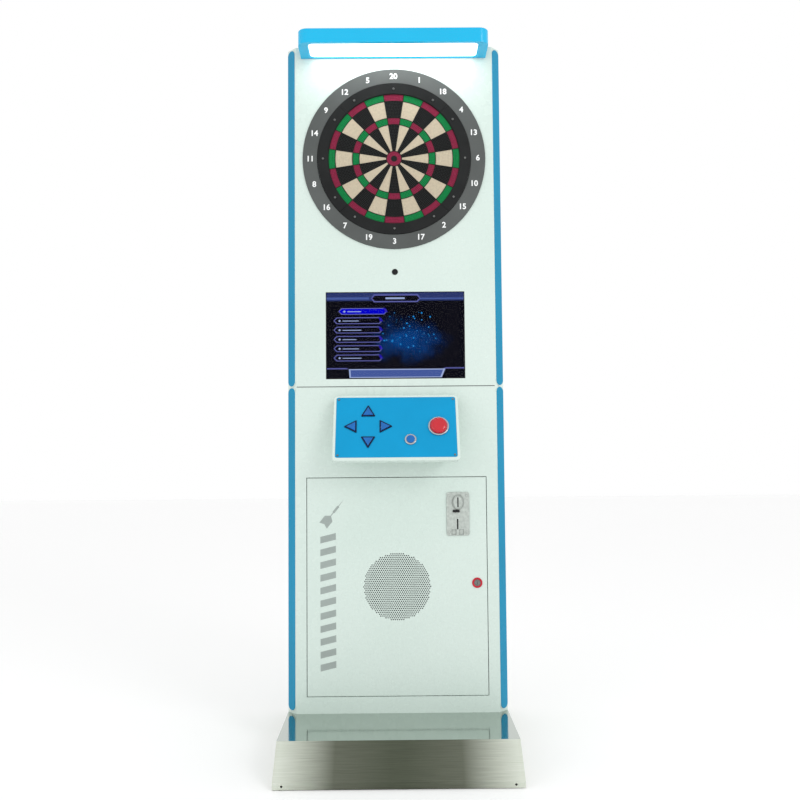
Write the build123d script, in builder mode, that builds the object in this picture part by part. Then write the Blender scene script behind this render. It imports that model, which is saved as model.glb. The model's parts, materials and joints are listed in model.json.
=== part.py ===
from build123d import *
import os
from math import asin, cos, degrees, hypot, radians, sin, sqrt

os.makedirs("parts", exist_ok=True)

# Electronic dartboard cabinet, millimetres. The machine faces -Y, +X is the player's right, +Z is up.
# The origin is on the floor, below the centre of the overall box.

# ---- Overall sizes ----
WIDTH = 642.0  # both cabinets and the plinth
CABINET_DEPTH = 380.0
TOE_REACH = 333.0  # plinth toe, ahead of the cabinet front
FRONT = (TOE_REACH - CABINET_DEPTH) / 2
BACK = FRONT + CABINET_DEPTH
PLINTH_TOP = 95.0
SEAM = 1045.0  # joint between the lower and the upper cabinet
CABINET_TOP = 2073.0

# ---- Cabinet sheet metal ----
WALL = 3.0
CORNER = 24.0  # 45 degree cut on the upright front corners
RIM_WIDTH = 22.0  # return flange round the open back
COVER_SETBACK = 6.0  # depth of the recess that takes the rear cover
COVER_SHEET = 2.0
SERVICE_WIDTH = 400.0  # opening through the seam, for the wiring and a hand
SERVICE_DEPTH = 190.0
SERVICE_Y = 200.0

# ---- Corner trims ----
TRIM_WIDTH = 30.0
TRIM_SHEET = 2.0
TRIM_GAP_SEAM = 2.6
TRIM_GAP_TOP = 5.6
TRIM_GAP_BASE = 8.2
ARCH_MARGIN = 2.0
ARCH_DEPTH = 1.6

# ---- Plinth ----
PLINTH_SHEET = 2.0
PLINTH_FLAT = 244.0  # flat top, ahead of the cabinet front
TOE_STRIP = 18.0
FLOOR_GAP = 1.5  # cover edge above the floor
TUBE = 40.0
FOOT_HEIGHT = 12.0
FOOT_RADIUS = 22.0
TOE_HOLE_X = 297.0
TOE_HOLE_Z = 10.0
TOE_HOLE_RADIUS = 3.0

# ---- Lamp hood ----
HOOD_WIDTH = 557.0
HOOD_REACH = 110.0
HOOD_LOW = 2039.0
HOOD_TOP = 2082.0
HOOD_CORNER = 28.0
HOOD_WALL = 3.0
LIGHT_WIDTH = 498.0
LIGHT_FRONT_LIP = 10.0
LIGHT_BACK_LIP = 6.0

# ---- Target ----
BULL_Z = 1730.0
SECTORS = 20
SECTOR = 360.0 / SECTORS
RING_OUTER = 274.0
RING_INNER = 230.2
CATCH_OUTER = 229.7
CATCH_INNER = 198.2
SPIDER_OUTER = 198.0
SCREW_CIRCLE = 213.0
SCREW_SPREAD = 33.7
SPIDER_PROUD = 3.0
SPIDER_BACK = 18.4
RIB = 1.8  # spider wall between two cells
PLAY = 0.35  # gap round each segment in its cell
SEGMENT_PROUD = 2.4
SEGMENT_BACK = 17.2
INNER_BULL = 9.0
BULL_CELL = 22.0
# Scoring bands as the middle radii of the spider's rings
BULL_RING = 22.9
TREBLE_IN = 104.5
TREBLE_OUT = 125.0
DOUBLE_IN = 176.5
DOUBLE_OUT = 197.2

# ---- Screen and camera ----
SCREEN_Z = 1197.5
WINDOW_WIDTH = 412.6
WINDOW_HEIGHT = 259.4
LENS_Z = 1387.0
LENS_RADIUS = 8.0

# ---- Control box ----
PANEL_TOP_AHEAD = 30.0
PANEL_TOP_Z = 1010.5
PANEL_LOW_AHEAD = 118.0
PANEL_LOW_Z = 836.3
PANEL_WIDTH = 346.0
PANEL_SHEET = 3.0
PANEL_LENGTH = hypot(PANEL_LOW_AHEAD - PANEL_TOP_AHEAD, PANEL_TOP_Z - PANEL_LOW_Z)
LEAN_SIN = (PANEL_LOW_AHEAD - PANEL_TOP_AHEAD) / PANEL_LENGTH
LEAN_COS = (PANEL_TOP_Z - PANEL_LOW_Z) / PANEL_LENGTH
BEZEL_SIDE = 8.0
BEZEL_TOP = 7.0
BEZEL_LOW = 10.0
BEZEL_DEPTH = 13.0
BOX_WIDTH = 316.0
BOX_TOP_Z = 1019.0
BOX_LOW_Z = 833.0
ARROW_X = -80.3
ARROW_S = 96.5  # distances down the panel from its top edge
ARROW_BASE = 42.0
ARROW_HEIGHT = 37.5
ARROW_OFFSET = 33.0
RED_X = 122.0
RED_S = 97.5
BLUE_X = 41.0
BLUE_S = 139.6
PANEL_SCREW_INSET = 7.0

# ---- Door ----
DOOR_WIDTH = 526.0
DOOR_LOW = 144.5
DOOR_TOP = 775.5
DOOR_GAP = 2.0
DOOR_SHEET = 2.0
DOOR_DEPTH = 18.0
FRAME_DEPTH = 19.0
PIVOT_INSET = 14.0
PIVOT_BEHIND = 6.0
PIN_RADIUS = 2.0
PIN_CLEARANCE = 0.05
GRILLE_Z = 458.0
GRILLE_RADIUS = 100.0
GRILLE_PITCH = 17.0
GRILLE_HOLE = 7.4  # centre to corner of each hexagonal opening
LOCK_X = 234.0
LOCK_Z = 467.5
CAM_LENGTH = 42.0
COIN_X = 179.5
COIN_Z = 668.5
COIN_WIDTH = 67.0
COIN_HEIGHT = 127.0

# ---- Rear electrics ----
INLET_X = -215.0
INLET_Z = 190.0


def save(builder, name):
    """Label a finished piece and write it as its own STEP file."""
    builder.part.label = name
    export_step(builder.part, f"parts/{name}.step")


def facing(y):
    """Plane parallel to the front at depth y: local x is +X, local y is +Z, and its normal is -Y."""
    return Plane.XZ.offset(-y)


def plan_corners(inset, rear):
    """Plan outline of a cabinet, inset from its outside, with both front corners cut at 45 degrees."""
    half = WIDTH / 2 - inset
    front = FRONT + inset
    cut = CORNER - inset * (2 - sqrt(2))
    left = [(-half, rear), (-half, front + cut), (-half + cut, front)]
    return left + [(-x, y) for x, y in reversed(left)]


def corner_plane(side, z):
    """Plane on the cut front corner, side -1 left or +1 right; local y is +Z and its normal points out."""
    middle = WIDTH / 2 - CORNER / 2
    origin = (side * middle, FRONT + CORNER / 2, z)
    return Plane(origin=origin, x_dir=(1, side, 0), z_dir=(side, -1, 0))


def panel_plane(height=0.0):
    """Plane of the control panel, origin at its top edge, local y up the slope, raised by height."""
    origin = (0, FRONT - PANEL_TOP_AHEAD, PANEL_TOP_Z)
    return Plane(origin=origin, x_dir=(1, 0, 0), z_dir=(0, -LEAN_COS, LEAN_SIN)).offset(height)


def polar(radius, clock_angle):
    """Point on the target, clockwise from its top as the player sees it."""
    return (radius * sin(radians(clock_angle)), BULL_Z + radius * cos(radians(clock_angle)))


def cell_corner(radius, sector, side, gap):
    """Corner of a target cell whose straight sides stay a fixed gap from the sector lines."""
    return polar(radius, SECTOR * sector + side * (SECTOR / 2 - degrees(asin(gap / radius))))


# ======== Plinth ========

TOE = FRONT - TOE_REACH
PLINTH_EDGE = FRONT - PLINTH_FLAT

with BuildPart() as plinth_cover:
    with BuildSketch(Plane.YZ):
        Polygon(
            (TOE, FLOOR_GAP),
            (TOE, TOE_STRIP),
            (PLINTH_EDGE, PLINTH_TOP),
            (BACK, PLINTH_TOP),
            (BACK, FLOOR_GAP),
            align=None,
        )
    extrude(amount=WIDTH / 2, both=True)
    bends = plinth_cover.edges().filter_by(Axis.X).filter_by(lambda e: e.center().Z > FLOOR_GAP + 1)
    fillet(bends.filter_by(lambda e: e.center().Y < BACK - 1), PLINTH_SHEET)
    with BuildSketch(Plane.YZ):
        inner_top = PLINTH_TOP - PLINTH_SHEET
        inner_toe = TOE + PLINTH_SHEET
        inner_edge = PLINTH_EDGE + PLINTH_SHEET * 0.5
        Polygon(
            (inner_toe, 0), (inner_toe, TOE_STRIP - 0.8), (inner_edge, inner_top),
            (BACK - PLINTH_SHEET, inner_top), (BACK - PLINTH_SHEET, 0),
            align=None,
        )
    extrude(amount=WIDTH / 2 - PLINTH_SHEET, both=True, mode=Mode.SUBTRACT)
    with BuildSketch(facing(TOE - 1)):
        with Locations((-TOE_HOLE_X, TOE_HOLE_Z), (TOE_HOLE_X, TOE_HOLE_Z)):
            Circle(TOE_HOLE_RADIUS)
    extrude(amount=-PLINTH_SHEET * 3, mode=Mode.SUBTRACT)
save(plinth_cover, "plinth_cover")

FRAME_HALF = WIDTH / 2 - PLINTH_SHEET - 2
FRAME_FRONT = PLINTH_EDGE + 12
FRAME_BACK = BACK - PLINTH_SHEET - 2
FRAME_TOP = PLINTH_TOP - PLINTH_SHEET
RAIL_HEIGHT = FRAME_TOP - FOOT_HEIGHT
CROSS_MEMBERS = (FRAME_FRONT + TUBE / 2, FRONT + TUBE, FRAME_BACK - TUBE / 2)

with BuildPart() as plinth_frame:
    # Two side rails and three cross members
    for side in (-1, 1):
        with BuildSketch(Plane.XY.offset(FOOT_HEIGHT)):
            with Locations((side * (FRAME_HALF - TUBE / 2), (FRAME_FRONT + FRAME_BACK) / 2)):
                Rectangle(TUBE, FRAME_BACK - FRAME_FRONT)
        extrude(amount=RAIL_HEIGHT)
    for cross in CROSS_MEMBERS:
        with BuildSketch(Plane.XY.offset(FOOT_HEIGHT)):
            with Locations((0, cross)):
                Rectangle(2 * FRAME_HALF, TUBE)
        extrude(amount=RAIL_HEIGHT)
    # Each member is a channel, open below
    for side in (-1, 1):
        with BuildSketch(Plane.XY.offset(FOOT_HEIGHT)):
            with Locations((side * (FRAME_HALF - TUBE / 2), (FRAME_FRONT + FRAME_BACK) / 2)):
                Rectangle(TUBE - 2 * WALL, FRAME_BACK - FRAME_FRONT - 2 * WALL)
        extrude(amount=RAIL_HEIGHT - WALL, mode=Mode.SUBTRACT)
    for cross in CROSS_MEMBERS:
        with BuildSketch(Plane.XY.offset(FOOT_HEIGHT)):
            with Locations((0, cross)):
                Rectangle(2 * FRAME_HALF - 2 * TUBE + 2 * WALL, TUBE - 2 * WALL)
        extrude(amount=RAIL_HEIGHT - WALL, mode=Mode.SUBTRACT)
save(plinth_frame, "plinth_frame")

with BuildPart() as rubber_feet:
    for x in (-1, 1):
        for y in CROSS_MEMBERS:
            with BuildSketch(Plane.XY):
                with Locations((x * (FRAME_HALF - FOOT_RADIUS), y)):
                    Circle(FOOT_RADIUS - 2)
            extrude(amount=FOOT_HEIGHT, taper=-4)
save(rubber_feet, "rubber_feet")


# ======== Cabinet shells ========

def cabinet_shell(low, high, gap_low, gap_high):
    """Folded sheet cabinet with a return flange round its open back and arched front corners."""
    middle = (low + high) / 2
    with BuildPart() as shell:
        with BuildSketch(Plane.XY.offset(low)):
            Polygon(*plan_corners(0, BACK), align=None)
        extrude(amount=high - low)
        fillet(shell.edges().filter_by(Axis.Z).filter_by(lambda e: e.center().Y < BACK - 1), 4)
        with BuildSketch(Plane.XY.offset(low + WALL)):
            Polygon(*plan_corners(WALL, BACK - COVER_SETBACK - WALL), align=None)
        extrude(amount=high - low - 2 * WALL, mode=Mode.SUBTRACT)
        with BuildSketch(facing(BACK)):
            with Locations((0, middle)):
                Rectangle(WIDTH - 2 * RIM_WIDTH, high - low - 2 * RIM_WIDTH)
        extrude(amount=COVER_SETBACK + WALL, mode=Mode.SUBTRACT)
        with BuildSketch(facing(BACK)):
            with Locations((0, middle)):
                Rectangle(WIDTH - 2 * WALL, high - low - 2 * WALL)
        extrude(amount=COVER_SETBACK, mode=Mode.SUBTRACT)
        # Shallow recess outside an arch at each end of both cut corners
        radius = TRIM_WIDTH / 2 + ARCH_MARGIN
        for side in (-1, 1):
            for end, gap, inward in ((low, gap_low, 1), (high, gap_high, -1)):
                centre = end + inward * (gap + TRIM_WIDTH / 2)
                with BuildSketch(corner_plane(side, centre)):
                    with Locations((0, -inward * TRIM_WIDTH)):
                        Rectangle(2 * TRIM_WIDTH, 2 * TRIM_WIDTH)
                    Circle(radius, mode=Mode.SUBTRACT)
                extrude(amount=-ARCH_DEPTH, mode=Mode.SUBTRACT)
    return shell


DOOR_MIDDLE = (DOOR_LOW + DOOR_TOP) / 2
DOOR_HEIGHT = DOOR_TOP - DOOR_LOW
OPENING_WIDTH = DOOR_WIDTH + 2 * DOOR_GAP
OPENING_HEIGHT = DOOR_HEIGHT + 2 * DOOR_GAP
PIVOT_X = -DOOR_WIDTH / 2 + PIVOT_INSET
PIVOT_Y = FRONT + PIVOT_BEHIND
BOLT_PLACES = [(x, y) for x in (-240, 240) for y in (60, 300)]
BOLT_RADIUS = 4.0
RUNNING = 0.05  # gap round bolts and screws in their holes

lower_blank = cabinet_shell(PLINTH_TOP, SEAM, TRIM_GAP_BASE, TRIM_GAP_SEAM)
with BuildPart() as lower_shell:
    add(lower_blank.part)
    # Return flange round the doorway
    with BuildSketch(facing(FRONT + 0.5)):
        with Locations((0, DOOR_MIDDLE)):
            Rectangle(OPENING_WIDTH + 2 * WALL, OPENING_HEIGHT + 2 * WALL)
    extrude(amount=0.5 - FRAME_DEPTH)
    with BuildSketch(facing(FRONT)):
        with Locations((0, DOOR_MIDDLE)):
            Rectangle(OPENING_WIDTH, OPENING_HEIGHT)
    extrude(amount=-FRAME_DEPTH, mode=Mode.SUBTRACT)
    # Wiring holes to the control box and through the roof, bolt holes in the roof
    with BuildSketch(facing(FRONT)):
        with Locations((0, (BOX_TOP_Z + BOX_LOW_Z) / 2)):
            SlotOverall(140, 50)
    extrude(amount=-WALL, mode=Mode.SUBTRACT)
    with BuildSketch(Plane.XY.offset(SEAM)):
        with Locations((0, SERVICE_Y)):
            RectangleRounded(SERVICE_WIDTH, SERVICE_DEPTH, 12)
        with Locations(*BOLT_PLACES):
            Circle(BOLT_RADIUS + RUNNING)
    extrude(amount=-WALL, mode=Mode.SUBTRACT)
    # Hinge pin holes through the top and bottom flanges
    with BuildSketch(Plane.XY.offset(DOOR_TOP + DOOR_GAP)):
        with Locations((PIVOT_X, PIVOT_Y)):
            Circle(PIN_RADIUS + PIN_CLEARANCE)
    extrude(amount=WALL, mode=Mode.SUBTRACT)
    with BuildSketch(Plane.XY.offset(DOOR_LOW - DOOR_GAP)):
        with Locations((PIVOT_X, PIVOT_Y)):
            Circle(PIN_RADIUS + PIN_CLEARANCE)
    extrude(amount=-WALL, mode=Mode.SUBTRACT)
save(lower_shell, "lower_shell")

upper_blank = cabinet_shell(SEAM, CABINET_TOP, TRIM_GAP_SEAM, TRIM_GAP_TOP)
with BuildPart() as upper_shell:
    add(upper_blank.part)
    with BuildSketch(facing(FRONT)):
        with Locations((0, BULL_Z)):
            Circle(CATCH_OUTER + 0.2)
        with Locations((0, SCREEN_Z)):
            Rectangle(WINDOW_WIDTH + 0.4, WINDOW_HEIGHT + 0.4)
        with Locations((0, LENS_Z)):
            Circle(LENS_RADIUS + RUNNING)
    extrude(amount=-WALL, mode=Mode.SUBTRACT)
    with BuildSketch(Plane.XY.offset(SEAM)):
        with Locations((0, SERVICE_Y)):
            RectangleRounded(SERVICE_WIDTH, SERVICE_DEPTH, 12)
        with Locations(*BOLT_PLACES):
            Circle(BOLT_RADIUS + RUNNING)
    extrude(amount=WALL, mode=Mode.SUBTRACT)
save(upper_shell, "upper_shell")

BOLT_HEAD_RADIUS = 6.5
BOLT_STEPS = (
    (SEAM - WALL - 6, 6, BOLT_HEAD_RADIUS),
    (SEAM - WALL, 2 * WALL, BOLT_RADIUS),
    (SEAM + WALL, 7, BOLT_HEAD_RADIUS),
)

with BuildPart() as joining_bolts:
    for place in BOLT_PLACES:
        for z, height, radius in BOLT_STEPS:
            with BuildSketch(Plane.XY.offset(z)):
                with Locations(place):
                    Circle(radius)
            extrude(amount=height)
save(joining_bolts, "joining_bolts")


def rear_cover(low, high):
    """Flat rear cover with rows of ventilation slots near its top and bottom."""
    with BuildPart() as cover:
        with BuildSketch(facing(BACK - COVER_SETBACK + COVER_SHEET)):
            with Locations((0, (low + high) / 2)):
                RectangleRounded(WIDTH - 2 * WALL - 1, high - low - 2 * WALL - 1, 4)
            for z in (low + 110, high - 110):
                with Locations((0, z)):
                    with GridLocations(60, 14, 6, 5):
                        SlotOverall(46, 6, mode=Mode.SUBTRACT)
        extrude(amount=COVER_SHEET)
    return cover


lower_cover_blank = rear_cover(PLINTH_TOP, SEAM)
INLET_WIDTH = 50.0
INLET_HEIGHT = 60.0
with BuildPart() as lower_rear_cover:
    add(lower_cover_blank.part)
    with BuildSketch(facing(BACK)):
        with Locations((INLET_X, INLET_Z)):
            Rectangle(INLET_WIDTH - 10, INLET_HEIGHT - 8)
    extrude(amount=COVER_SETBACK + WALL, mode=Mode.SUBTRACT)
save(lower_rear_cover, "lower_rear_cover")

upper_rear_cover = rear_cover(SEAM, CABINET_TOP)
save(upper_rear_cover, "upper_rear_cover")


def corner_trim(side, low, high):
    """Coloured strip with round ends that lies on a cut front corner."""
    with BuildPart() as trim:
        with BuildSketch(corner_plane(side, (low + high) / 2)):
            SlotOverall(high - low, TRIM_WIDTH, rotation=90)
        extrude(amount=TRIM_SHEET)
        outer = trim.faces().sort_by(Axis((0, 0, 0), (side, -1, 0)))[-1]
        fillet(outer.edges(), 1.2)
    return trim


for side, hand in ((-1, "left"), (1, "right")):
    save(corner_trim(side, SEAM + TRIM_GAP_SEAM, CABINET_TOP - TRIM_GAP_TOP), f"corner_trim_upper_{hand}")
    save(corner_trim(side, PLINTH_TOP + TRIM_GAP_BASE, SEAM - TRIM_GAP_SEAM), f"corner_trim_lower_{hand}")


# ======== Lamp hood ========

HOOD_FRONT = FRONT - HOOD_REACH
LIGHT_DEPTH = HOOD_REACH - LIGHT_FRONT_LIP - LIGHT_BACK_LIP
LIGHT_Y = HOOD_FRONT + LIGHT_FRONT_LIP + LIGHT_DEPTH / 2
HOOD_Y = FRONT - HOOD_REACH / 2
TONGUE_DEPTH = 45.0
TONGUE_WIDTH = 500.0

with BuildPart() as hood_housing:
    with BuildSketch(Plane.XY.offset(HOOD_LOW)) as hood_plan:
        with Locations((0, HOOD_Y)):
            Rectangle(HOOD_WIDTH, HOOD_REACH)
        fillet(hood_plan.vertices().group_by(Axis.Y)[0], HOOD_CORNER)
    extrude(amount=HOOD_TOP - HOOD_LOW)
    top_face = hood_housing.faces().sort_by(Axis.Z)[-1]
    fillet(top_face.edges().filter_by(lambda e: e.center().Y < FRONT - 1), 2.5)
    with BuildSketch(Plane.XY.offset(HOOD_LOW + HOOD_WALL)) as hood_room:
        with Locations((0, HOOD_Y)):
            Rectangle(HOOD_WIDTH - 2 * HOOD_WALL, HOOD_REACH - 2 * HOOD_WALL)
        fillet(hood_room.vertices().group_by(Axis.Y)[0], HOOD_CORNER - HOOD_WALL)
    extrude(amount=HOOD_TOP - HOOD_LOW - 2 * HOOD_WALL, mode=Mode.SUBTRACT)
    with BuildSketch(Plane.XY.offset(HOOD_LOW)):
        with Locations((0, LIGHT_Y)):
            RectangleRounded(LIGHT_WIDTH, LIGHT_DEPTH, 14)
    extrude(amount=HOOD_WALL, mode=Mode.SUBTRACT)
    # Fixing tongue over the cabinet roof
    with BuildSketch(Plane.XY.offset(CABINET_TOP)):
        with Locations((0, FRONT + TONGUE_DEPTH / 2 - HOOD_WALL / 2)):
            Rectangle(TONGUE_WIDTH, TONGUE_DEPTH + HOOD_WALL)
    extrude(amount=HOOD_WALL)
save(hood_housing, "hood_housing")

DIFFUSER_SHEET = 3.0
with BuildPart() as hood_diffuser:
    with BuildSketch(Plane.XY.offset(HOOD_LOW + HOOD_WALL)):
        with Locations((0, LIGHT_Y)):
            RectangleRounded(LIGHT_WIDTH + 12, LIGHT_DEPTH + 5, 16)
    extrude(amount=DIFFUSER_SHEET)
save(hood_diffuser, "hood_diffuser")

with BuildPart() as hood_led_bar:
    with BuildSketch(Plane.XY.offset(HOOD_TOP - HOOD_WALL)):
        with Locations((0, LIGHT_Y)):
            Rectangle(LIGHT_WIDTH - 20, 60)
    extrude(amount=-4)
    with BuildSketch(Plane.XY.offset(HOOD_TOP - HOOD_WALL - 4)):
        with Locations((0, LIGHT_Y)):
            with GridLocations(20, 24, 23, 2):
                Rectangle(5, 5)
    extrude(amount=-1.5)
save(hood_led_bar, "hood_led_bar")


# ======== Target ========

with BuildPart() as number_ring:
    with BuildSketch(facing(FRONT)):
        with Locations((0, BULL_Z)):
            Circle(RING_OUTER)
            Circle(RING_INNER, mode=Mode.SUBTRACT)
    extrude(amount=4)
    chamfer(number_ring.faces().sort_by(Axis.Y)[0].edges(), 1.2)
save(number_ring, "number_ring")

CATCH_PROUD = 6.0
CATCH_BACK = 20.0
SCREW_ANGLES = [quarter * 90 + turn for quarter in range(4) for turn in (-SCREW_SPREAD, 0, SCREW_SPREAD)]
SCREW_POINTS = [polar(SCREW_CIRCLE, angle) for angle in SCREW_ANGLES]
SCREW_SHANK = 1.9

with BuildPart() as catch_ring:
    with BuildSketch(facing(FRONT - CATCH_PROUD)):
        with Locations((0, BULL_Z)):
            Circle(CATCH_OUTER)
            Circle(CATCH_INNER, mode=Mode.SUBTRACT)
            Rectangle(0.8, 3 * CATCH_OUTER, rotation=45, mode=Mode.SUBTRACT)
            Rectangle(0.8, 3 * CATCH_OUTER, rotation=-45, mode=Mode.SUBTRACT)
        with Locations(*SCREW_POINTS):
            Circle(SCREW_SHANK + RUNNING, mode=Mode.SUBTRACT)
    extrude(amount=-CATCH_PROUD - CATCH_BACK)
save(catch_ring, "catch_ring")

with BuildPart() as catch_ring_screws:
    for place in SCREW_POINTS:
        with BuildSketch(facing(FRONT - CATCH_PROUD)):
            with Locations(place):
                Circle(3.6)
        extrude(amount=2, taper=18)
        with BuildSketch(facing(FRONT - CATCH_PROUD)):
            with Locations(place):
                Circle(SCREW_SHANK)
        extrude(amount=-CATCH_PROUD - CATCH_BACK)
        with BuildSketch(facing(FRONT - CATCH_PROUD - 2)):
            with Locations(place):
                Rectangle(3.6, 0.8)
                Rectangle(0.8, 3.6)
        extrude(amount=-1, mode=Mode.SUBTRACT)
save(catch_ring_screws, "catch_ring_screws")

BANDS = {
    "inner": (BULL_RING, TREBLE_IN),
    "treble": (TREBLE_IN, TREBLE_OUT),
    "outer": (TREBLE_OUT, DOUBLE_IN),
    "double": (DOUBLE_IN, DOUBLE_OUT),
}

with BuildPart() as spider:
    with BuildSketch(facing(FRONT - SPIDER_PROUD)):
        with Locations((0, BULL_Z)):
            Circle(SPIDER_OUTER)
    extrude(amount=-SPIDER_PROUD - SPIDER_BACK)
    for inner, outer in BANDS.values():
        low = inner + RIB / 2
        high = outer - RIB / 2
        gap = RIB / 2
        with BuildSketch(facing(FRONT - SPIDER_PROUD)):
            for sector in range(SECTORS):
                with BuildLine():
                    Line(cell_corner(low, sector, -1, gap), cell_corner(high, sector, -1, gap))
                    ThreePointArc(
                        cell_corner(high, sector, -1, gap), polar(high, SECTOR * sector),
                        cell_corner(high, sector, 1, gap),
                    )
                    Line(cell_corner(high, sector, 1, gap), cell_corner(low, sector, 1, gap))
                    ThreePointArc(
                        cell_corner(low, sector, 1, gap), polar(low, SECTOR * sector),
                        cell_corner(low, sector, -1, gap),
                    )
                make_face()
        extrude(amount=-SPIDER_PROUD - SPIDER_BACK, mode=Mode.SUBTRACT)
    with BuildSketch(facing(FRONT - SPIDER_PROUD)):
        with Locations((0, BULL_Z)):
            Circle(BULL_CELL)
    extrude(amount=-SPIDER_PROUD - SPIDER_BACK, mode=Mode.SUBTRACT)
save(spider, "spider")


def segment_group(band_names, first_sector):
    """Every second segment of the named bands, as separate solids."""
    gap = RIB / 2 + PLAY
    with BuildPart() as group:
        for name in band_names:
            low = BANDS[name][0] + gap
            high = BANDS[name][1] - gap
            for sector in range(first_sector, SECTORS, 2):
                with BuildSketch(facing(FRONT - SEGMENT_PROUD)):
                    with BuildLine():
                        Line(cell_corner(low, sector, -1, gap), cell_corner(high, sector, -1, gap))
                        ThreePointArc(
                            cell_corner(high, sector, -1, gap), polar(high, SECTOR * sector),
                            cell_corner(high, sector, 1, gap),
                        )
                        Line(cell_corner(high, sector, 1, gap), cell_corner(low, sector, 1, gap))
                        ThreePointArc(
                            cell_corner(low, sector, 1, gap), polar(low, SECTOR * sector),
                            cell_corner(low, sector, -1, gap),
                        )
                    make_face()
                extrude(amount=-SEGMENT_PROUD - SEGMENT_BACK)
    return group


save(segment_group(("inner", "outer"), 0), "singles_black")
save(segment_group(("inner", "outer"), 1), "singles_cream")
save(segment_group(("treble",), 0), "trebles_red")
save(segment_group(("treble",), 1), "trebles_green")
save(segment_group(("double",), 0), "doubles_red")
save(segment_group(("double",), 1), "doubles_green")

with BuildPart() as outer_bull:
    with BuildSketch(facing(FRONT - SEGMENT_PROUD)):
        with Locations((0, BULL_Z)):
            Circle(BULL_CELL - PLAY)
            Circle(INNER_BULL + PLAY, mode=Mode.SUBTRACT)
    extrude(amount=-SEGMENT_PROUD - SEGMENT_BACK)
save(outer_bull, "outer_bull")

with BuildPart() as inner_bull:
    with BuildSketch(facing(FRONT - SEGMENT_PROUD)):
        with Locations((0, BULL_Z)):
            Circle(INNER_BULL)
    extrude(amount=-SEGMENT_PROUD - SEGMENT_BACK)
save(inner_bull, "inner_bull")

MEMBRANE_SHEET = 1.6
with BuildPart() as membrane_sheet:
    with BuildSketch(facing(FRONT + SPIDER_BACK)):
        with Locations((0, BULL_Z)):
            Circle(SPIDER_OUTER)
    extrude(amount=-MEMBRANE_SHEET)
save(membrane_sheet, "membrane_sheet")

PLATE_RADIUS = 256.0
with BuildPart() as board_backplate:
    with BuildSketch(facing(FRONT + CATCH_BACK)):
        with Locations((0, BULL_Z)):
            Circle(PLATE_RADIUS)
    extrude(amount=-5)
    # Raised rim that meets the back of the cabinet front
    with BuildSketch(facing(FRONT + WALL)):
        with Locations((0, BULL_Z)):
            Circle(PLATE_RADIUS)
            Circle(PLATE_RADIUS - 14, mode=Mode.SUBTRACT)
    extrude(amount=WALL - CATCH_BACK)
save(board_backplate, "board_backplate")


# ======== Screen and camera ========

with BuildPart() as lcd_window:
    with BuildSketch(facing(FRONT)):
        with Locations((0, SCREEN_Z)):
            RectangleRounded(WINDOW_WIDTH, WINDOW_HEIGHT, 1.5)
    extrude(amount=-WALL)
save(lcd_window, "lcd_window")

LCD_BODY = 24.0
with BuildPart() as lcd_panel:
    with BuildSketch(facing(FRONT + WALL)):
        with Locations((0, SCREEN_Z)):
            RectangleRounded(WINDOW_WIDTH + 24, WINDOW_HEIGHT + 34, 4)
    extrude(amount=-LCD_BODY)
    with BuildSketch(facing(FRONT + WALL + LCD_BODY)):
        with Locations((0, SCREEN_Z)):
            RectangleRounded(300, 180, 10)
    extrude(amount=-16, taper=20)
save(lcd_panel, "lcd_panel")

with BuildPart() as camera_lens:
    with BuildSketch(facing(FRONT)):
        with Locations((0, LENS_Z)):
            Circle(LENS_RADIUS + 1)
    extrude(amount=1.2)
    with BuildSketch(facing(FRONT)):
        with Locations((0, LENS_Z)):
            Circle(LENS_RADIUS)
    extrude(amount=-18)
    with BuildSketch(facing(FRONT - 1.2)):
        with Locations((0, LENS_Z)):
            Circle(LENS_RADIUS - 1.5)
    extrude(amount=-1.5, taper=25, mode=Mode.SUBTRACT)
save(camera_lens, "camera_lens")


# ======== Control box ========

def ahead(distance, z):
    """Point of the side view, given as distance ahead of the cabinet front and height."""
    return (FRONT - distance, z)


def below_panel(slope, depth):
    """Side view point at a distance down the panel's slope and a depth behind its face."""
    reach = PANEL_TOP_AHEAD + slope * LEAN_SIN - depth * LEAN_COS
    return ahead(reach, PANEL_TOP_Z - slope * LEAN_COS - depth * LEAN_SIN)


BEZEL_CENTRE = -PANEL_LENGTH / 2 + (BEZEL_TOP - BEZEL_LOW) / 2
BEZEL_LENGTH = PANEL_LENGTH + BEZEL_TOP + BEZEL_LOW
RECESS_SIDE = 0.4

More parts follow.
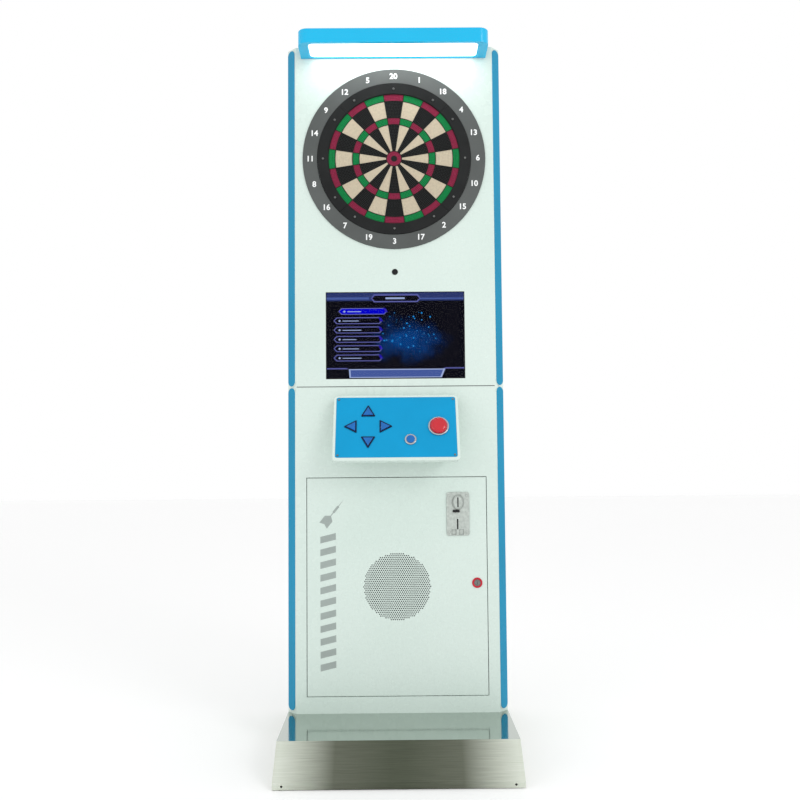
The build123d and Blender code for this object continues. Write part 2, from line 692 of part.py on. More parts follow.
with BuildPart() as control_box:
    with BuildSketch(Plane.YZ):
        Polygon(
            ahead(0, BOX_TOP_Z), below_panel(2, BEZEL_DEPTH - 1), below_panel(PANEL_LENGTH, BEZEL_DEPTH - 1),
            ahead(0, BOX_LOW_Z),
            align=None,
        )
    extrude(amount=BOX_WIDTH / 2, both=True)
    with BuildSketch(panel_plane(-BEZEL_DEPTH)):
        with Locations((0, BEZEL_CENTRE)):
            RectangleRounded(PANEL_WIDTH + 2 * BEZEL_SIDE, BEZEL_LENGTH, 13)
    extrude(amount=BEZEL_DEPTH)
    outer = control_box.faces().sort_by(Axis((0, 0, 0), (0, -LEAN_COS, LEAN_SIN)))[-1]
    fillet(outer.edges(), 3)
    with BuildSketch(Plane.YZ):
        Polygon(
            ahead(-1, BOX_TOP_Z - WALL),
            below_panel(9, BEZEL_DEPTH),
            below_panel(PANEL_LENGTH - 9, BEZEL_DEPTH),
            ahead(-1, BOX_LOW_Z + WALL),
            align=None,
        )
    extrude(amount=BOX_WIDTH / 2 - WALL, both=True, mode=Mode.SUBTRACT)
    with BuildSketch(panel_plane()):
        with Locations((0, -PANEL_LENGTH / 2)):
            RectangleRounded(PANEL_WIDTH + 2 * RECESS_SIDE, PANEL_LENGTH + 2 * RECESS_SIDE, 6)
    extrude(amount=-PANEL_SHEET, mode=Mode.SUBTRACT)
    with BuildSketch(panel_plane(-PANEL_SHEET)):
        with Locations((0, -PANEL_LENGTH / 2)):
            RectangleRounded(BOX_WIDTH - 2 * WALL, PANEL_LENGTH - 24, 6)
    extrude(amount=-BEZEL_DEPTH, mode=Mode.SUBTRACT)
save(control_box, "control_box")


def arrow_points(direction, inset):
    """Corners of an arrow button's outline: direction counts quarter turns clockwise from up."""
    edge = hypot(ARROW_BASE / 2, ARROW_HEIGHT)
    inradius = ARROW_BASE * ARROW_HEIGHT / (ARROW_BASE + 2 * edge)
    scale = (inradius - inset) / inradius
    middle = ARROW_OFFSET + inradius
    upright = [
        (0, middle + (ARROW_HEIGHT - inradius) * scale),
        (ARROW_BASE / 2 * scale, middle - inradius * scale),
        (-ARROW_BASE / 2 * scale, middle - inradius * scale),
    ]
    turn = radians(-90 * direction)
    return [
        (ARROW_X + x * cos(turn) - y * sin(turn), -ARROW_S + x * sin(turn) + y * cos(turn))
        for x, y in upright
    ]


ARROWS = {"arrow_up": 0, "arrow_right": 1, "arrow_down": 2, "arrow_left": 3}
ARROW_RIM = 3.4  # width of the rim seen from the front
ARROW_PLAY = 0.4
SLEEVE_INSET = 2.0
RED_BARREL = 13.0
BLUE_BARREL = 11.5
SCREW_X = PANEL_WIDTH / 2 - PANEL_SCREW_INSET
SCREW_S = (PANEL_SCREW_INSET, PANEL_LENGTH - PANEL_SCREW_INSET)
PANEL_SCREWS = [(x, -s) for x in (-SCREW_X, SCREW_X) for s in SCREW_S]
PANEL_SCREW_RADIUS = 1.5

with BuildPart() as control_panel_plate:
    with BuildSketch(panel_plane(-PANEL_SHEET)):
        with Locations((0, -PANEL_LENGTH / 2)):
            RectangleRounded(PANEL_WIDTH, PANEL_LENGTH, 5.5)
        for direction in ARROWS.values():
            Polygon(*arrow_points(direction, SLEEVE_INSET), align=None, mode=Mode.SUBTRACT)
        with Locations((RED_X, -RED_S)):
            Circle(RED_BARREL + RUNNING, mode=Mode.SUBTRACT)
        with Locations((BLUE_X, -BLUE_S)):
            Circle(BLUE_BARREL + RUNNING, mode=Mode.SUBTRACT)
        with Locations(*PANEL_SCREWS):
            Circle(PANEL_SCREW_RADIUS + RUNNING, mode=Mode.SUBTRACT)
    extrude(amount=PANEL_SHEET)
save(control_panel_plate, "control_panel_plate")

with BuildPart() as control_panel_screws:
    for place in PANEL_SCREWS:
        with BuildSketch(panel_plane()):
            with Locations(place):
                Circle(3.4)
        extrude(amount=1.6, taper=22)
        with BuildSketch(panel_plane()):
            with Locations(place):
                Circle(PANEL_SCREW_RADIUS)
        extrude(amount=-PANEL_SHEET)
save(control_panel_screws, "control_panel_screws")

SLEEVE_DEPTH = 12.0
with BuildPart() as arrow_bezels:
    for direction in ARROWS.values():
        with BuildSketch(panel_plane()) as rim:
            Polygon(*arrow_points(direction, 0), align=None)
            fillet(rim.vertices(), 1.6)
        extrude(amount=2.2)
        with BuildSketch(panel_plane()):
            Polygon(*arrow_points(direction, SLEEVE_INSET + RUNNING), align=None)
        extrude(amount=-SLEEVE_DEPTH)
    for direction in ARROWS.values():
        with BuildSketch(panel_plane(2.2)):
            Polygon(*arrow_points(direction, ARROW_RIM), align=None)
        extrude(amount=-SLEEVE_DEPTH - 2.2, mode=Mode.SUBTRACT)
save(arrow_bezels, "arrow_bezels")


def arrow_button(direction):
    """Triangular translucent cap with a plunger that reaches its switch."""
    with BuildPart() as cap:
        with BuildSketch(panel_plane(4.6)):
            Polygon(*arrow_points(direction, ARROW_RIM + ARROW_PLAY), align=None)
        extrude(amount=-16)
        top = cap.faces().sort_by(Axis((0, 0, 0), (0, -LEAN_COS, LEAN_SIN)))[-1]
        fillet(top.edges(), 1.2)
    return cap


for name, direction in ARROWS.items():
    save(arrow_button(direction), name)


def round_bezel(x, slope, radius, bore, barrel, plunger, barrel_depth, height):
    """Ring with a floor and a threaded barrel, for a round push button."""
    with BuildPart() as bezel:
        with BuildSketch(panel_plane()):
            with Locations((x, -slope)):
                Circle(radius)
        extrude(amount=height)
        top = bezel.faces().sort_by(Axis((0, 0, 0), (0, -LEAN_COS, LEAN_SIN)))[-1]
        fillet(top.edges(), 1.8)
        with BuildSketch(panel_plane(1)):
            with Locations((x, -slope)):
                Circle(bore)
        extrude(amount=height, mode=Mode.SUBTRACT)
        with BuildSketch(panel_plane()):
            with Locations((x, -slope)):
                Circle(barrel)
        extrude(amount=-barrel_depth)
        with BuildSketch(panel_plane(1)):
            with Locations((x, -slope)):
                Circle(plunger)
        extrude(amount=-barrel_depth - 1, mode=Mode.SUBTRACT)
    return bezel


def round_button(x, slope, radius, plunger, plunger_depth, seat, rise, crown):
    """Domed cap on a plunger; seat is the height of the cap's underside at rest."""
    with BuildPart() as button:
        with BuildSketch(panel_plane(seat)):
            with Locations((x, -slope)):
                Circle(radius)
        extrude(amount=rise)
        top = button.faces().sort_by(Axis((0, 0, 0), (0, -LEAN_COS, LEAN_SIN)))[-1]
        fillet(top.edges(), crown)
        with BuildSketch(panel_plane(seat)):
            with Locations((x, -slope)):
                Circle(plunger)
        extrude(amount=-plunger_depth - seat)
    return button


save(round_bezel(RED_X, RED_S, 30, 26.2, RED_BARREL, 8, 26, 5), "red_button_bezel")
save(round_button(RED_X, RED_S, 25.5, 7.6, 23, 4.6, 10.5, 10), "red_button")
save(round_bezel(BLUE_X, BLUE_S, 17, 12.5, BLUE_BARREL, 7, 22, 4), "blue_button_bezel")
save(round_button(BLUE_X, BLUE_S, 12, 6.6, 19, 3.8, 3.4, 2), "blue_button")

with BuildPart() as button_switches:
    # One microswitch behind each of the six buttons
    reach = ARROW_OFFSET + ARROW_HEIGHT / 3
    arrow_places = [(ARROW_X, reach - ARROW_S), (ARROW_X + reach, -ARROW_S)]
    arrow_places += [(ARROW_X, -reach - ARROW_S), (ARROW_X - reach, -ARROW_S)]
    switches = [(place, 16.0) for place in arrow_places]
    switches += [((RED_X, -RED_S), 28.5), ((BLUE_X, -BLUE_S), 24.5)]
    for place, depth in switches:
        with BuildSketch(panel_plane(-depth)):
            with Locations(place):
                Rectangle(20, 8)
        extrude(amount=-12)
        with BuildSketch(panel_plane(-depth)):
            with Locations((place[0] - 5, place[1])):
                Rectangle(3, 4)
        extrude(amount=1)
save(button_switches, "button_switches")


# ======== Door ========

LOCK_BORE = 9.6
COIN_CUT_WIDTH = 55.0
COIN_CUT_HEIGHT = 100.0
ROW_STEP = GRILLE_PITCH * sqrt(3) / 2
ROWS = int(GRILLE_RADIUS / ROW_STEP)
COLUMNS = int(GRILLE_RADIUS / GRILLE_PITCH) + 1
GRILLE_POINTS = [
    ((column + 0.5 * (row % 2)) * GRILLE_PITCH, GRILLE_Z + row * ROW_STEP)
    for row in range(-ROWS, ROWS + 1)
    for column in range(-COLUMNS, COLUMNS + 1)
    if hypot((column + 0.5 * (row % 2)) * GRILLE_PITCH, row * ROW_STEP) <= GRILLE_RADIUS - GRILLE_HOLE
]
BUSH_LENGTH = 18.0

with BuildPart() as door_panel:
    with BuildSketch(facing(FRONT)):
        with Locations((0, DOOR_MIDDLE)):
            Rectangle(DOOR_WIDTH, DOOR_HEIGHT)
    extrude(amount=-DOOR_DEPTH)
    with BuildSketch(facing(FRONT + DOOR_SHEET)):
        with Locations((0, DOOR_MIDDLE)):
            Rectangle(DOOR_WIDTH - 2 * DOOR_SHEET, DOOR_HEIGHT - 2 * DOOR_SHEET)
    extrude(amount=DOOR_SHEET - DOOR_DEPTH, mode=Mode.SUBTRACT)
    with BuildSketch(facing(FRONT)):
        with Locations((COIN_X, COIN_Z)):
            Rectangle(COIN_CUT_WIDTH, COIN_CUT_HEIGHT)
        with Locations((LOCK_X, LOCK_Z)):
            Circle(LOCK_BORE)
    extrude(amount=-DOOR_SHEET, mode=Mode.SUBTRACT)
    with BuildSketch(facing(FRONT)):
        with Locations(*GRILLE_POINTS):
            RegularPolygon(GRILLE_HOLE, 6, rotation=30)
    extrude(amount=-DOOR_SHEET, mode=Mode.SUBTRACT)
    # Holes for the hinge pins in the top and bottom flanges
    with BuildSketch(Plane.XY.offset(DOOR_LOW)):
        with Locations((PIVOT_X, PIVOT_Y)):
            Circle(PIN_RADIUS + 1)
    extrude(amount=DOOR_HEIGHT, mode=Mode.SUBTRACT)
save(door_panel, "door_panel")

with BuildPart() as hinge_fixed:
    # A headed pin through each flange of the doorway
    for start, toward in ((DOOR_TOP + DOOR_GAP, 1), (DOOR_LOW - DOOR_GAP, -1)):
        with BuildSketch(Plane.XY.offset(start - toward * (DOOR_GAP + DOOR_SHEET + BUSH_LENGTH))):
            with Locations((PIVOT_X, PIVOT_Y)):
                Circle(PIN_RADIUS)
        extrude(amount=toward * (DOOR_GAP + DOOR_SHEET + BUSH_LENGTH + WALL))
        with BuildSketch(Plane.XY.offset(start + toward * WALL)):
            with Locations((PIVOT_X, PIVOT_Y)):
                Circle(2.8)
        extrude(amount=toward * 3)
save(hinge_fixed, "hinge_fixed")

with BuildPart() as hinge_moving:
    # A bush block inside the top and bottom corners of the door
    for start in (DOOR_LOW + DOOR_SHEET, DOOR_TOP - DOOR_SHEET - BUSH_LENGTH):
        with BuildSketch(Plane.XY.offset(start)):
            with Locations((PIVOT_X, FRONT + DOOR_SHEET + 5)):
                Rectangle(18, 10)
            with Locations((PIVOT_X, PIVOT_Y)):
                Circle(PIN_RADIUS + PIN_CLEARANCE, mode=Mode.SUBTRACT)
        extrude(amount=BUSH_LENGTH)
save(hinge_moving, "hinge_moving")

# ---- Lock ----
LOCK_BARREL = 8.0
LOCK_DEPTH = 20.5
with BuildPart() as lock_body:
    with BuildSketch(facing(FRONT - 1.5)):
        with Locations((LOCK_X, LOCK_Z)):
            Circle(LOCK_BORE - RUNNING)
            Circle(LOCK_BARREL + RUNNING, mode=Mode.SUBTRACT)
    extrude(amount=-LOCK_DEPTH - 1)
    with BuildSketch(facing(FRONT + DOOR_SHEET)):
        with Locations((LOCK_X, LOCK_Z)):
            RegularPolygon(13, 6)
            Circle(LOCK_BORE - 1, mode=Mode.SUBTRACT)
    extrude(amount=-5)
save(lock_body, "lock_body")

with BuildPart() as lock_ring:
    with BuildSketch(facing(FRONT)):
        with Locations((LOCK_X, LOCK_Z)):
            Circle(15)
            Circle(LOCK_BORE, mode=Mode.SUBTRACT)
    extrude(amount=2.5)
    fillet(lock_ring.faces().sort_by(Axis.Y)[0].edges(), 1)
save(lock_ring, "lock_ring")

with BuildPart() as lock_cylinder:
    with BuildSketch(facing(FRONT - 3)):
        with Locations((LOCK_X, LOCK_Z)):
            Circle(LOCK_BARREL)
    extrude(amount=-3 - LOCK_DEPTH - 1)
    chamfer(lock_cylinder.faces().sort_by(Axis.Y)[0].edges(), 0.8)
    with BuildSketch(facing(FRONT - 3)):
        with Locations((LOCK_X, LOCK_Z)):
            Rectangle(1.6, 8.4)
    extrude(amount=-6, mode=Mode.SUBTRACT)
    # Cam hanging down from the rear end of the cylinder
    with BuildSketch(facing(FRONT + LOCK_DEPTH)):
        with Locations((LOCK_X, LOCK_Z)):
            Circle(LOCK_BARREL)
        with Locations((LOCK_X, LOCK_Z - CAM_LENGTH / 2)):
            Rectangle(15, CAM_LENGTH)
    extrude(amount=-3)
save(lock_cylinder, "lock_cylinder")

# ---- Coin acceptor ----
SLOT_Z = COIN_Z + 34.0
RETURN_Z = COIN_Z - 30.0
with BuildPart() as coin_faceplate:
    with BuildSketch(facing(FRONT)):
        with Locations((COIN_X, COIN_Z)):
            RectangleRounded(COIN_WIDTH, COIN_HEIGHT, 7)
    extrude(amount=3)
    fillet(coin_faceplate.faces().sort_by(Axis.Y)[0].edges(), 1)
    # Raised oval with the coin slot
    with BuildSketch(facing(FRONT - 3)):
        with Locations((COIN_X, SLOT_Z)):
            Ellipse(15, 20)
    extrude(amount=4)
    with BuildSketch(facing(FRONT - 7)):
        with Locations((COIN_X, SLOT_Z)):
            Ellipse(12.5, 17.5)
    extrude(amount=1.2)
    with BuildSketch(facing(FRONT - 9)):
        with Locations((COIN_X, SLOT_Z)):
            SlotOverall(29, 3.6, rotation=90)
    extrude(amount=-9, mode=Mode.SUBTRACT)
    # Return slot, coin return mouth and the hole for the reject button
    with BuildSketch(facing(FRONT - 3)):
        with Locations((COIN_X - 1, RETURN_Z)):
            SlotOverall(31, 4.4, rotation=90)
        with Locations((COIN_X - 12, COIN_Z - 53), (COIN_X + 10, COIN_Z - 53)):
            Rectangle(14, 15)
        with Locations((COIN_X - 5, COIN_Z + 8)):
            RectangleRounded(20.8, 6.8, 3)
    extrude(amount=-2, mode=Mode.SUBTRACT)
    with BuildSketch(facing(FRONT - 1)):
        with Locations((COIN_X - 5, COIN_Z + 8)):
            Rectangle(8.8, 5.8)
    extrude(amount=-1, mode=Mode.SUBTRACT)
    with BuildSketch(facing(FRONT - 3)):
        with Locations((COIN_X, COIN_Z)):
            with GridLocations(COIN_WIDTH - 15, COIN_HEIGHT - 21, 2, 2):
                Circle(3)
    extrude(amount=1.2)
save(coin_faceplate, "coin_faceplate")

with BuildPart() as coin_mech:
    with BuildSketch(facing(FRONT)):
        with Locations((COIN_X, COIN_Z)):
            Rectangle(COIN_CUT_WIDTH - 1, COIN_CUT_HEIGHT - 1)
    extrude(amount=-56)
    with BuildSketch(facing(FRONT)):
        with Locations((COIN_X, SLOT_Z)):
            Rectangle(4, 28)
        with Locations((COIN_X - 5, COIN_Z + 8)):
            Rectangle(9.4, 6.4)
    extrude(amount=-8, mode=Mode.SUBTRACT)
    # Coin exit at the foot of the mechanism
    with BuildSketch(Plane.XY.offset(COIN_Z - COIN_CUT_HEIGHT / 2)):
        with Locations((COIN_X, FRONT + 34)):
            Rectangle(34, 16)
    extrude(amount=30, mode=Mode.SUBTRACT)
save(coin_mech, "coin_mech")

with BuildPart() as coin_reject_button:
    with BuildSketch(facing(FRONT - 6)):
        with Locations((COIN_X - 5, COIN_Z + 8)):
            RectangleRounded(20, 6, 2.5)
    extrude(amount=-2.4)
    with BuildSketch(facing(FRONT - 3.6)):
        with Locations((COIN_X - 5, COIN_Z + 8)):
            Rectangle(8, 5)
    extrude(amount=-7.6)
save(coin_reject_button, "coin_reject_button")

# ---- Loudspeaker ----
SPEAKER_AXIS = Axis((0, 0, GRILLE_Z), (0, 1, 0))


def speaker_profile(*points):
    """Half section of the loudspeaker as (depth behind the door face, radius) points."""
    return [(FRONT + depth, GRILLE_Z + radius) for depth, radius in points]


BASKET_RIM = [(2, 86), (2, 106), (5, 106), (5, 90)]  # (depth, radius) from the door sheet
BASKET_MAGNET = [(56, 52), (56, 58), (80, 58), (80, 0), (55, 0)]
BASKET_OUTLINE = BASKET_RIM + BASKET_MAGNET + [(55, 48), (5, 86)]

with BuildPart() as speaker_basket:
    with BuildSketch(Plane.YZ):
        Polygon(*speaker_profile(*BASKET_OUTLINE), align=None)
    revolve(axis=SPEAKER_AXIS)
save(speaker_basket, "speaker_basket")

with BuildPart() as speaker_cone:
    # Rolled surround, cone, dust cap and voice coil former
    with BuildSketch(Plane.YZ):
        Polygon(
            *speaker_profile(
                (7, 79), (5, 74), (7, 69), (38, 22), (33, 13), (30, 0), (31.4, 0), (34.2, 12.5), (39.4, 20),
                (50, 20), (50, 22), (41, 22.4), (8.8, 69.4), (6.6, 74.2), (8.4, 79),
            ),
            align=None,
        )
    revolve(axis=SPEAKER_AXIS)
save(speaker_cone, "speaker_cone")


# ======== Inside the lower cabinet ========

CASH_X = 170.0
CASH_Y = FRONT + 115
FLOOR_INSIDE = PLINTH_TOP + WALL
CASH_BOX_HEIGHT = 150.0
with BuildPart() as cash_box:
    with BuildSketch(Plane.XY.offset(FLOOR_INSIDE)):
        with Locations((CASH_X, CASH_Y)):
            Rectangle(140, 160)
    extrude(amount=CASH_BOX_HEIGHT)
    with BuildSketch(Plane.XY.offset(FLOOR_INSIDE + 2)):
        with Locations((CASH_X, CASH_Y)):
            Rectangle(136, 156)
    extrude(amount=CASH_BOX_HEIGHT - 2, mode=Mode.SUBTRACT)
    # Pull strap standing on the front wall
    with BuildSketch(facing(CASH_Y - 80)):
        with Locations((CASH_X, FLOOR_INSIDE + 80)):
            RectangleRounded(90, 26, 6)
            RectangleRounded(74, 12, 4, mode=Mode.SUBTRACT)
    extrude(amount=12)
save(cash_box, "cash_box")

COMPUTER_X = -60.0
COMPUTER_Y = 190.0
COMPUTER_DEPTH = 260.0
COMPUTER_HEIGHT = 95.0
with BuildPart() as game_computer:
    with BuildSketch(Plane.XY.offset(FLOOR_INSIDE)):
        with Locations((COMPUTER_X, COMPUTER_Y)):
            RectangleRounded(180, COMPUTER_DEPTH, 6)
    extrude(amount=COMPUTER_HEIGHT)
    with BuildSketch(Plane.XY.offset(FLOOR_INSIDE + 2)):
        with Locations((COMPUTER_X, COMPUTER_Y)):
            Rectangle(174, COMPUTER_DEPTH - 6)
    extrude(amount=COMPUTER_HEIGHT - 4, mode=Mode.SUBTRACT)
    with BuildSketch(facing(COMPUTER_Y - COMPUTER_DEPTH / 2)):
        with Locations((COMPUTER_X, FLOOR_INSIDE + COMPUTER_HEIGHT / 2)):
            with GridLocations(12, 0, 10, 1):
                SlotOverall(50, 4, rotation=90)
    extrude(amount=-4, mode=Mode.SUBTRACT)
save(game_computer, "game_computer")

COVER_FACE = BACK - COVER_SETBACK + COVER_SHEET
INLET_FACE = COVER_FACE + 2.0
ROCKER_Z = INLET_Z + 16.0
SOCKET_Z = INLET_Z - 9.0
ROCKER_WIDTH = 20.0
ROCKER_HALF = 5.4  # half its height along each facet
ROCKER_TILT = 7.0  # each way from the middle
ROCKER_PIVOT_Y = INLET_FACE - 3.2
ROCKER_CROWN = 2.0  # pivot to the crease between the two facets

with BuildPart() as power_inlet:
    with BuildSketch(facing(COVER_FACE)):
        with Locations((INLET_X, INLET_Z)):
            RectangleRounded(INLET_WIDTH, INLET_HEIGHT, 5)
    extrude(amount=COVER_FACE - INLET_FACE)
    with BuildSketch(facing(COVER_FACE)):
        with Locations((INLET_X, INLET_Z)):
            Rectangle(INLET_WIDTH - 11, INLET_HEIGHT - 9)
    extrude(amount=30)
    with BuildSketch(facing(INLET_FACE)) as socket:
        with Locations((INLET_X, SOCKET_Z)):
            Rectangle(24, 16.5)
        fillet(socket.vertices(), 2.5)
    extrude(amount=18, mode=Mode.SUBTRACT)
    with BuildSketch(facing(INLET_FACE)):
        with Locations((INLET_X, ROCKER_Z)):
            Rectangle(ROCKER_WIDTH + 0.8, 2 * ROCKER_HALF + 1.6)
    extrude(amount=12, mode=Mode.SUBTRACT)
    # Three contact blades
    with BuildSketch(facing(INLET_FACE - 18)):
        with Locations((INLET_X - 7, SOCKET_Z - 2), (INLET_X + 7, SOCKET_Z - 2), (INLET_X, SOCKET_Z + 2)):
            Rectangle(2, 4)
    extrude(amount=-13)
save(power_inlet, "power_inlet")


def rocker_point(outward, upward):
    """Side view point of the rocker, turned to its rest position about its pivot."""
    lean = radians(ROCKER_TILT)
    return (
        ROCKER_PIVOT_Y + outward * cos(lean) - upward * sin(lean),
        ROCKER_Z + outward * sin(lean) + upward * cos(lean),
    )


with BuildPart() as power_rocker:
    rise = ROCKER_HALF * sin(radians(ROCKER_TILT))
    with BuildSketch(Plane.YZ.offset(INLET_X)):
        Polygon(
            rocker_point(-4, -3.5),
            rocker_point(ROCKER_CROWN + rise, -ROCKER_HALF),
            rocker_point(ROCKER_CROWN, 0),
            rocker_point(ROCKER_CROWN + rise, ROCKER_HALF),
            rocker_point(-4, 3.5),
            align=None,
        )
    extrude(amount=ROCKER_WIDTH / 2, both=True)
save(power_rocker, "power_rocker")
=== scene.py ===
import bpy
import json
from math import asin, cos, pi, radians, sin, sqrt
from mathutils import Matrix, Vector


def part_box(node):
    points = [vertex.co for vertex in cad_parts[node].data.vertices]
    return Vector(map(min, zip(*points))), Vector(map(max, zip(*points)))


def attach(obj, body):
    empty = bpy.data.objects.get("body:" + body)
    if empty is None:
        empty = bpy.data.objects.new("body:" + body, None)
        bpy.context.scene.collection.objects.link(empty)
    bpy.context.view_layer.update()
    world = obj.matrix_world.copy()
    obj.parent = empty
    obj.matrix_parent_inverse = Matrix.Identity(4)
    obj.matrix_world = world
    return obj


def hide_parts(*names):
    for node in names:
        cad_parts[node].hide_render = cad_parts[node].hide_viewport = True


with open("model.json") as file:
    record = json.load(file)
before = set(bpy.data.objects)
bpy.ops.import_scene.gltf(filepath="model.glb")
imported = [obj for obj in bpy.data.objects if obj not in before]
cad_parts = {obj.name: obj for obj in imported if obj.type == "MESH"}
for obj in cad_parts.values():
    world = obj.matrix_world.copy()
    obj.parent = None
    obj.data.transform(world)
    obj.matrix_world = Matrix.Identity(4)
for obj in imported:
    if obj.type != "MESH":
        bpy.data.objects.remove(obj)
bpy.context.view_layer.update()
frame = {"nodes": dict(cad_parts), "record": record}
NODES = frame["nodes"]

# Places that the frame gives, in metres. The player stands on the -Y side.
WINDOW_LOW, WINDOW_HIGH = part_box("lcd_window")
RING_LOW, RING_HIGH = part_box("number_ring")
DOOR_LOW, DOOR_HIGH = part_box("door_panel")
COIN_LOW, COIN_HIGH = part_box("coin_faceplate")
FRONT = RING_HIGH.y
BULL_X = (RING_LOW.x + RING_HIGH.x) / 2
BULL_Z = (RING_LOW.z + RING_HIGH.z) / 2


# ======== Camera ========

CAMERA_AHEAD = 2.6576  # ahead of the cabinet front
CAMERA_HEIGHT = 0.8522
CAMERA_X = -0.0016
CAMERA_PITCH = radians(3.279)
CAMERA_YAW = radians(0.298)
CAMERA_ROLL = radians(0.454)
CAMERA_LENS = 40.5


def make_camera():
    data = bpy.data.cameras.new("camera")
    data.lens = CAMERA_LENS
    data.sensor_width = 36.0
    camera = bpy.data.objects.new("camera", data)
    bpy.context.scene.collection.objects.link(camera)
    ahead = cos(CAMERA_PITCH)
    forward = Vector((sin(CAMERA_YAW) * ahead, cos(CAMERA_YAW) * ahead, sin(CAMERA_PITCH)))
    level = Vector((cos(CAMERA_YAW), -sin(CAMERA_YAW), 0))
    upward = level.cross(forward)
    right = cos(CAMERA_ROLL) * level - sin(CAMERA_ROLL) * upward
    top = sin(CAMERA_ROLL) * level + cos(CAMERA_ROLL) * upward
    place = Matrix((right, top, -forward)).transposed().to_4x4()
    place.translation = (CAMERA_X, FRONT - CAMERA_AHEAD, CAMERA_HEIGHT)
    camera.matrix_world = place
    bpy.context.scene.camera = camera


make_camera()


# ======== Materials ========

class Shader:
    """A small wrapper round one material's node tree."""

    def __init__(self, name, colour, roughness=0.4, metallic=0.0, **sockets):
        self.material = bpy.data.materials.new(name)
        self.material.use_nodes = True
        self.tree = self.material.node_tree
        self.surface = self.tree.nodes["Principled BSDF"]
        self.set("Base Color", (*colour, 1))
        self.set("Roughness", roughness)
        self.set("Metallic", metallic)
        for key, value in sockets.items():
            self.set(key.replace("_", " "), value)
        self.place = self.node("ShaderNodeTexCoord").outputs["Object"]

    def set(self, socket, value):
        self.surface.inputs[socket].default_value = value

    def node(self, kind, **settings):
        node = self.tree.nodes.new(kind)
        for key, value in settings.items():
            setattr(node, key, value)
        return node

    def link(self, start, end):
        self.tree.links.new(start, end)

    def scaled(self, scale):
        """Object coordinates stretched by a scale per axis."""
        mapping = self.node("ShaderNodeMapping")
        mapping.inputs["Scale"].default_value = scale
        self.link(self.place, mapping.inputs["Vector"])
        return mapping.outputs["Vector"]

    def noise(self, scale, detail=3.0, rough=0.5, stretch=(1, 1, 1)):
        noise = self.node("ShaderNodeTexNoise")
        noise.inputs["Scale"].default_value = scale
        noise.inputs["Detail"].default_value = detail
        noise.inputs["Roughness"].default_value = rough
        self.link(self.scaled(stretch), noise.inputs["Vector"])
        return noise.outputs["Fac"]

    def range(self, value, low, high, start=0.0, end=1.0):
        """Remap a value from low..high to start..end."""
        remap = self.node("ShaderNodeMapRange")
        for key, number in (("From Min", low), ("From Max", high), ("To Min", start), ("To Max", end)):
            remap.inputs[key].default_value = number
        self.link(value, remap.inputs["Value"])
        return remap.outputs["Result"]

    def ramp(self, value, *stops):
        """Colour ramp from (position, colour) stops."""
        ramp = self.node("ShaderNodeValToRGB")
        elements = ramp.color_ramp.elements
        while len(elements) < len(stops):
            elements.new(0.5)
        for element, (position, colour) in zip(elements, stops):
            element.position = position
            element.color = (*colour, 1)
        self.link(value, ramp.inputs["Fac"])
        return ramp.outputs["Color"]

    def blend(self, factor, first, second, mode="MIX"):
        """Mix two colours; the colour sockets of the node stand at 6 and 7, its colour result at 2."""
        mix = self.node("ShaderNodeMix", data_type="RGBA", blend_type=mode)
        for socket, value in zip((mix.inputs[0], mix.inputs[6], mix.inputs[7]), (factor, first, second)):
            if isinstance(value, tuple):
                socket.default_value = (*value, 1)
            elif isinstance(value, (int, float)):
                socket.default_value = value
            else:
                self.link(value, socket)
        return mix.outputs[2]

    def calculate(self, operation, *values):
        maths = self.node("ShaderNodeMath", operation=operation)
        for socket, value in zip(maths.inputs, values):
            if isinstance(value, (int, float)):
                socket.default_value = value
            else:
                self.link(value, socket)
        return maths.outputs["Value"]

    def axes(self):
        split = self.node("ShaderNodeSeparateXYZ")
        self.link(self.place, split.inputs["Vector"])
        return split.outputs["X"], split.outputs["Y"], split.outputs["Z"]

    def colour(self, output):
        self.link(output, self.surface.inputs["Base Color"])

    def rough(self, output):
        self.link(output, self.surface.inputs["Roughness"])

    def bump(self, height, strength, distance):
        bump = self.node("ShaderNodeBump")
        bump.inputs["Strength"].default_value = strength
        bump.inputs["Distance"].default_value = distance
        self.link(height, bump.inputs["Height"])
        self.link(bump.outputs["Normal"], self.surface.inputs["Normal"])


def varied(name, colour, spread, scale, roughness, rough_spread=0.05, bump=(900, 0.12, 0.0002), **sockets):
    """Material with a faint cloudy colour, a slightly uneven sheen and a fine surface grain."""
    shader = Shader(name, colour, roughness, **sockets)
    clouds = shader.noise(scale, 3)
    darker = tuple(max(0.0, c * (1 - spread)) for c in colour)
    lighter = tuple(min(1.0, c * (1 + spread)) for c in colour)
    shader.colour(shader.ramp(clouds, (0.3, darker), (0.7, lighter)))
    sheen = shader.noise(scale * 6, 4)
    shader.rough(shader.range(sheen, 0.3, 0.7, roughness - rough_spread, roughness + rough_spread))
    grain, strength, distance = bump
    shader.bump(shader.noise(grain, 2), strength, distance)
    return shader.material


def powder_coat():
    shader = Shader("powder_coat_white", (0.64, 0.74, 0.68), 0.26, Coat_Weight=0.25, Coat_Roughness=0.08)
    clouds = shader.noise(2.2, 2)
    shader.colour(shader.ramp(clouds, (0.3, (0.60, 0.71, 0.655)), (0.7, (0.65, 0.75, 0.70))))
    shader.rough(shader.range(shader.noise(35, 4), 0.3, 0.7, 0.22, 0.32))
    shader.bump(shader.noise(420, 2, 0.4), 0.10, 0.0002)
    return shader.material


